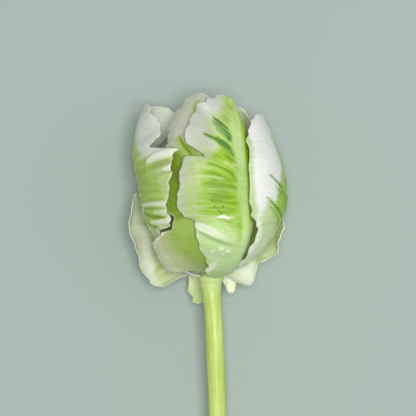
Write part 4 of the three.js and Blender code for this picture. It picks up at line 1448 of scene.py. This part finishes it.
# ---- Stage ----
CAMERA_ASIDE = -1.2  # mm from the bloom's axis to the middle of the view, to the right
CAMERA_ALONG = 27.6  # mm from the receptacle's centre to the middle of the view, towards the tips
VIEW_WIDTH = 0.1664  # metres that the view takes in at the bloom's axis
SENSOR = 36
FRONT_LIGHT = {"size": 0.5, "place": (0.1, -0.06, 1.7)}
KEY_LIGHT = {"size": 1.2, "place": (0.6, 0.2, 0.8)}
FLOOR_ROUGHNESS = 0.9
FLOOR_SHINE = 0.1
FLOOR_LIGHTER = 1.01  # how much lighter the floor's palest clouds are
FLOOR_CLOUDS = 4.0
FLOOR_DETAIL = 3.0


def aim(thing, direction, up):
    """Turn an object so that its -Z looks along direction with its Y along up."""
    back = -Vector(direction).normalized()
    right = Vector(up).cross(back).normalized()
    turned = back.cross(right)
    thing.rotation_mode = "QUATERNION"
    columns = (right, turned, back)
    rows = [[column[k] for column in columns] for k in range(3)]
    thing.rotation_quaternion = Matrix(rows).to_quaternion()


def add_camera(distance):
    """Camera that looks straight onto the bloom's front from above."""
    camera = bpy.data.objects.new("camera", bpy.data.cameras.new("camera"))
    bpy.context.scene.collection.objects.link(camera)
    bpy.context.scene.camera = camera
    up, direction = Vector(FRAME_UP), Vector(FRAME_OUT)
    target = Vector(BLOOM_ORIGIN * MM) + up * CAMERA_ALONG * MM
    target.x += CAMERA_ASIDE * MM
    camera.location = target - direction * distance
    aim(camera, direction, up)
    camera.data.sensor_width = SENSOR
    camera.data.lens = SENSOR * distance / VIEW_WIDTH


def add_light(name, power, size, place):
    """Large soft lamp that looks at the bloom."""
    lamp = bpy.data.lights.new(name, "AREA")
    lamp.energy = power
    lamp.size = size
    thing = bpy.data.objects.new(name, lamp)
    bpy.context.scene.collection.objects.link(thing)
    thing.location = place
    aim(thing, Vector(BLOOM_ORIGIN * MM) - Vector(place), (0, 1, 0))


def add_floor(settings):
    """Plain matt floor."""
    half = settings.floor_size / 2
    corners = [(-half, -half, 0), (half, -half, 0), (half, half, 0), (-half, half, 0)]
    mesh = bpy.data.meshes.new("floor")
    mesh.from_pydata(corners, [], [(0, 1, 2, 3)])
    material = bpy.data.materials.new("floor")
    material.use_nodes = True
    tree = material.node_tree
    shader = tree.nodes["Principled BSDF"]
    position = add_node(tree, "ShaderNodeTexCoord").outputs["Object"]
    pale = [channel * FLOOR_LIGHTER for channel in settings.floor]
    clouds = noise(tree, position, FLOOR_CLOUDS, FLOOR_DETAIL)
    color = blend_colors(tree, clouds, opaque(settings.floor), opaque(pale))
    tree.links.new(color, shader.inputs["Base Color"])
    shader.inputs["Roughness"].default_value = FLOOR_ROUGHNESS
    shader.inputs["Specular IOR Level"].default_value = FLOOR_SHINE
    mesh.materials.append(material)
    floor = bpy.data.objects.new("floor", mesh)
    bpy.context.scene.collection.objects.link(floor)


class TULIP_OT_stage(bpy.types.Operator):
    """Make the floor, the soft light and the camera"""

    bl_idname = "tulip.make_stage"
    bl_label = "Stage"

    def execute(self, context):
        settings = context.scene.tulip_stage
        add_camera(settings.distance)
        add_floor(settings)
        add_light("front light", settings.front, **FRONT_LIGHT)
        add_light("key light", settings.key, **KEY_LIGHT)
        world = bpy.data.worlds.new("sky")
        context.scene.world = world
        world.use_nodes = True
        background = world.node_tree.nodes["Background"]
        background.inputs["Color"].default_value = (1, 1, 1, 1)
        background.inputs["Strength"].default_value = settings.sky
        context.scene.view_settings.view_transform = "Standard"
        return {"FINISHED"}


# ---- Panel and registration ----
OPERATORS = (TULIP_OT_stage, TULIP_OT_stem, TULIP_OT_petals, TULIP_OT_pistil, TULIP_OT_stamens)
SETTINGS = {
    "tulip_stage": TulipStageSettings,
    "tulip_stem": TulipStemSettings,
    "tulip_petals": TulipPetalSettings,
    "tulip_inner": TulipInnerSettings,
}


class VIEW3D_PT_tulip(bpy.types.Panel):
    """Lists the tulip's pieces and their settings"""

    bl_label = "Parrot tulip"
    bl_space_type = "VIEW_3D"
    bl_region_type = "UI"
    bl_category = "Tulip"

    def draw(self, context):
        for operator in OPERATORS:
            self.layout.operator(operator.bl_idname)
        for name, group in SETTINGS.items():
            settings = getattr(context.scene, name)
            box = self.layout.box()
            for key in group.__annotations__:
                box.prop(settings, key)


def register():
    """Add the classes and their settings to Blender."""
    for group in (*SETTINGS.values(), *OPERATORS, VIEW3D_PT_tulip):
        bpy.utils.register_class(group)
    for name, group in SETTINGS.items():
        setattr(bpy.types.Scene, name, PointerProperty(type=group))


def unregister():
    """Take the classes and their settings out of Blender."""
    for name in SETTINGS:
        delattr(bpy.types.Scene, name)
    for group in (VIEW3D_PT_tulip, *OPERATORS, *SETTINGS.values()):
        bpy.utils.unregister_class(group)


def main():
    """Build the whole tulip and its stage."""
    register()
    bpy.ops.tulip.make_stage()
    bpy.ops.tulip.make_stem()
    bpy.ops.tulip.make_petals()
    bpy.ops.tulip.make_pistil()
    bpy.ops.tulip.make_stamens()


if __name__ == "__main__":
    main()
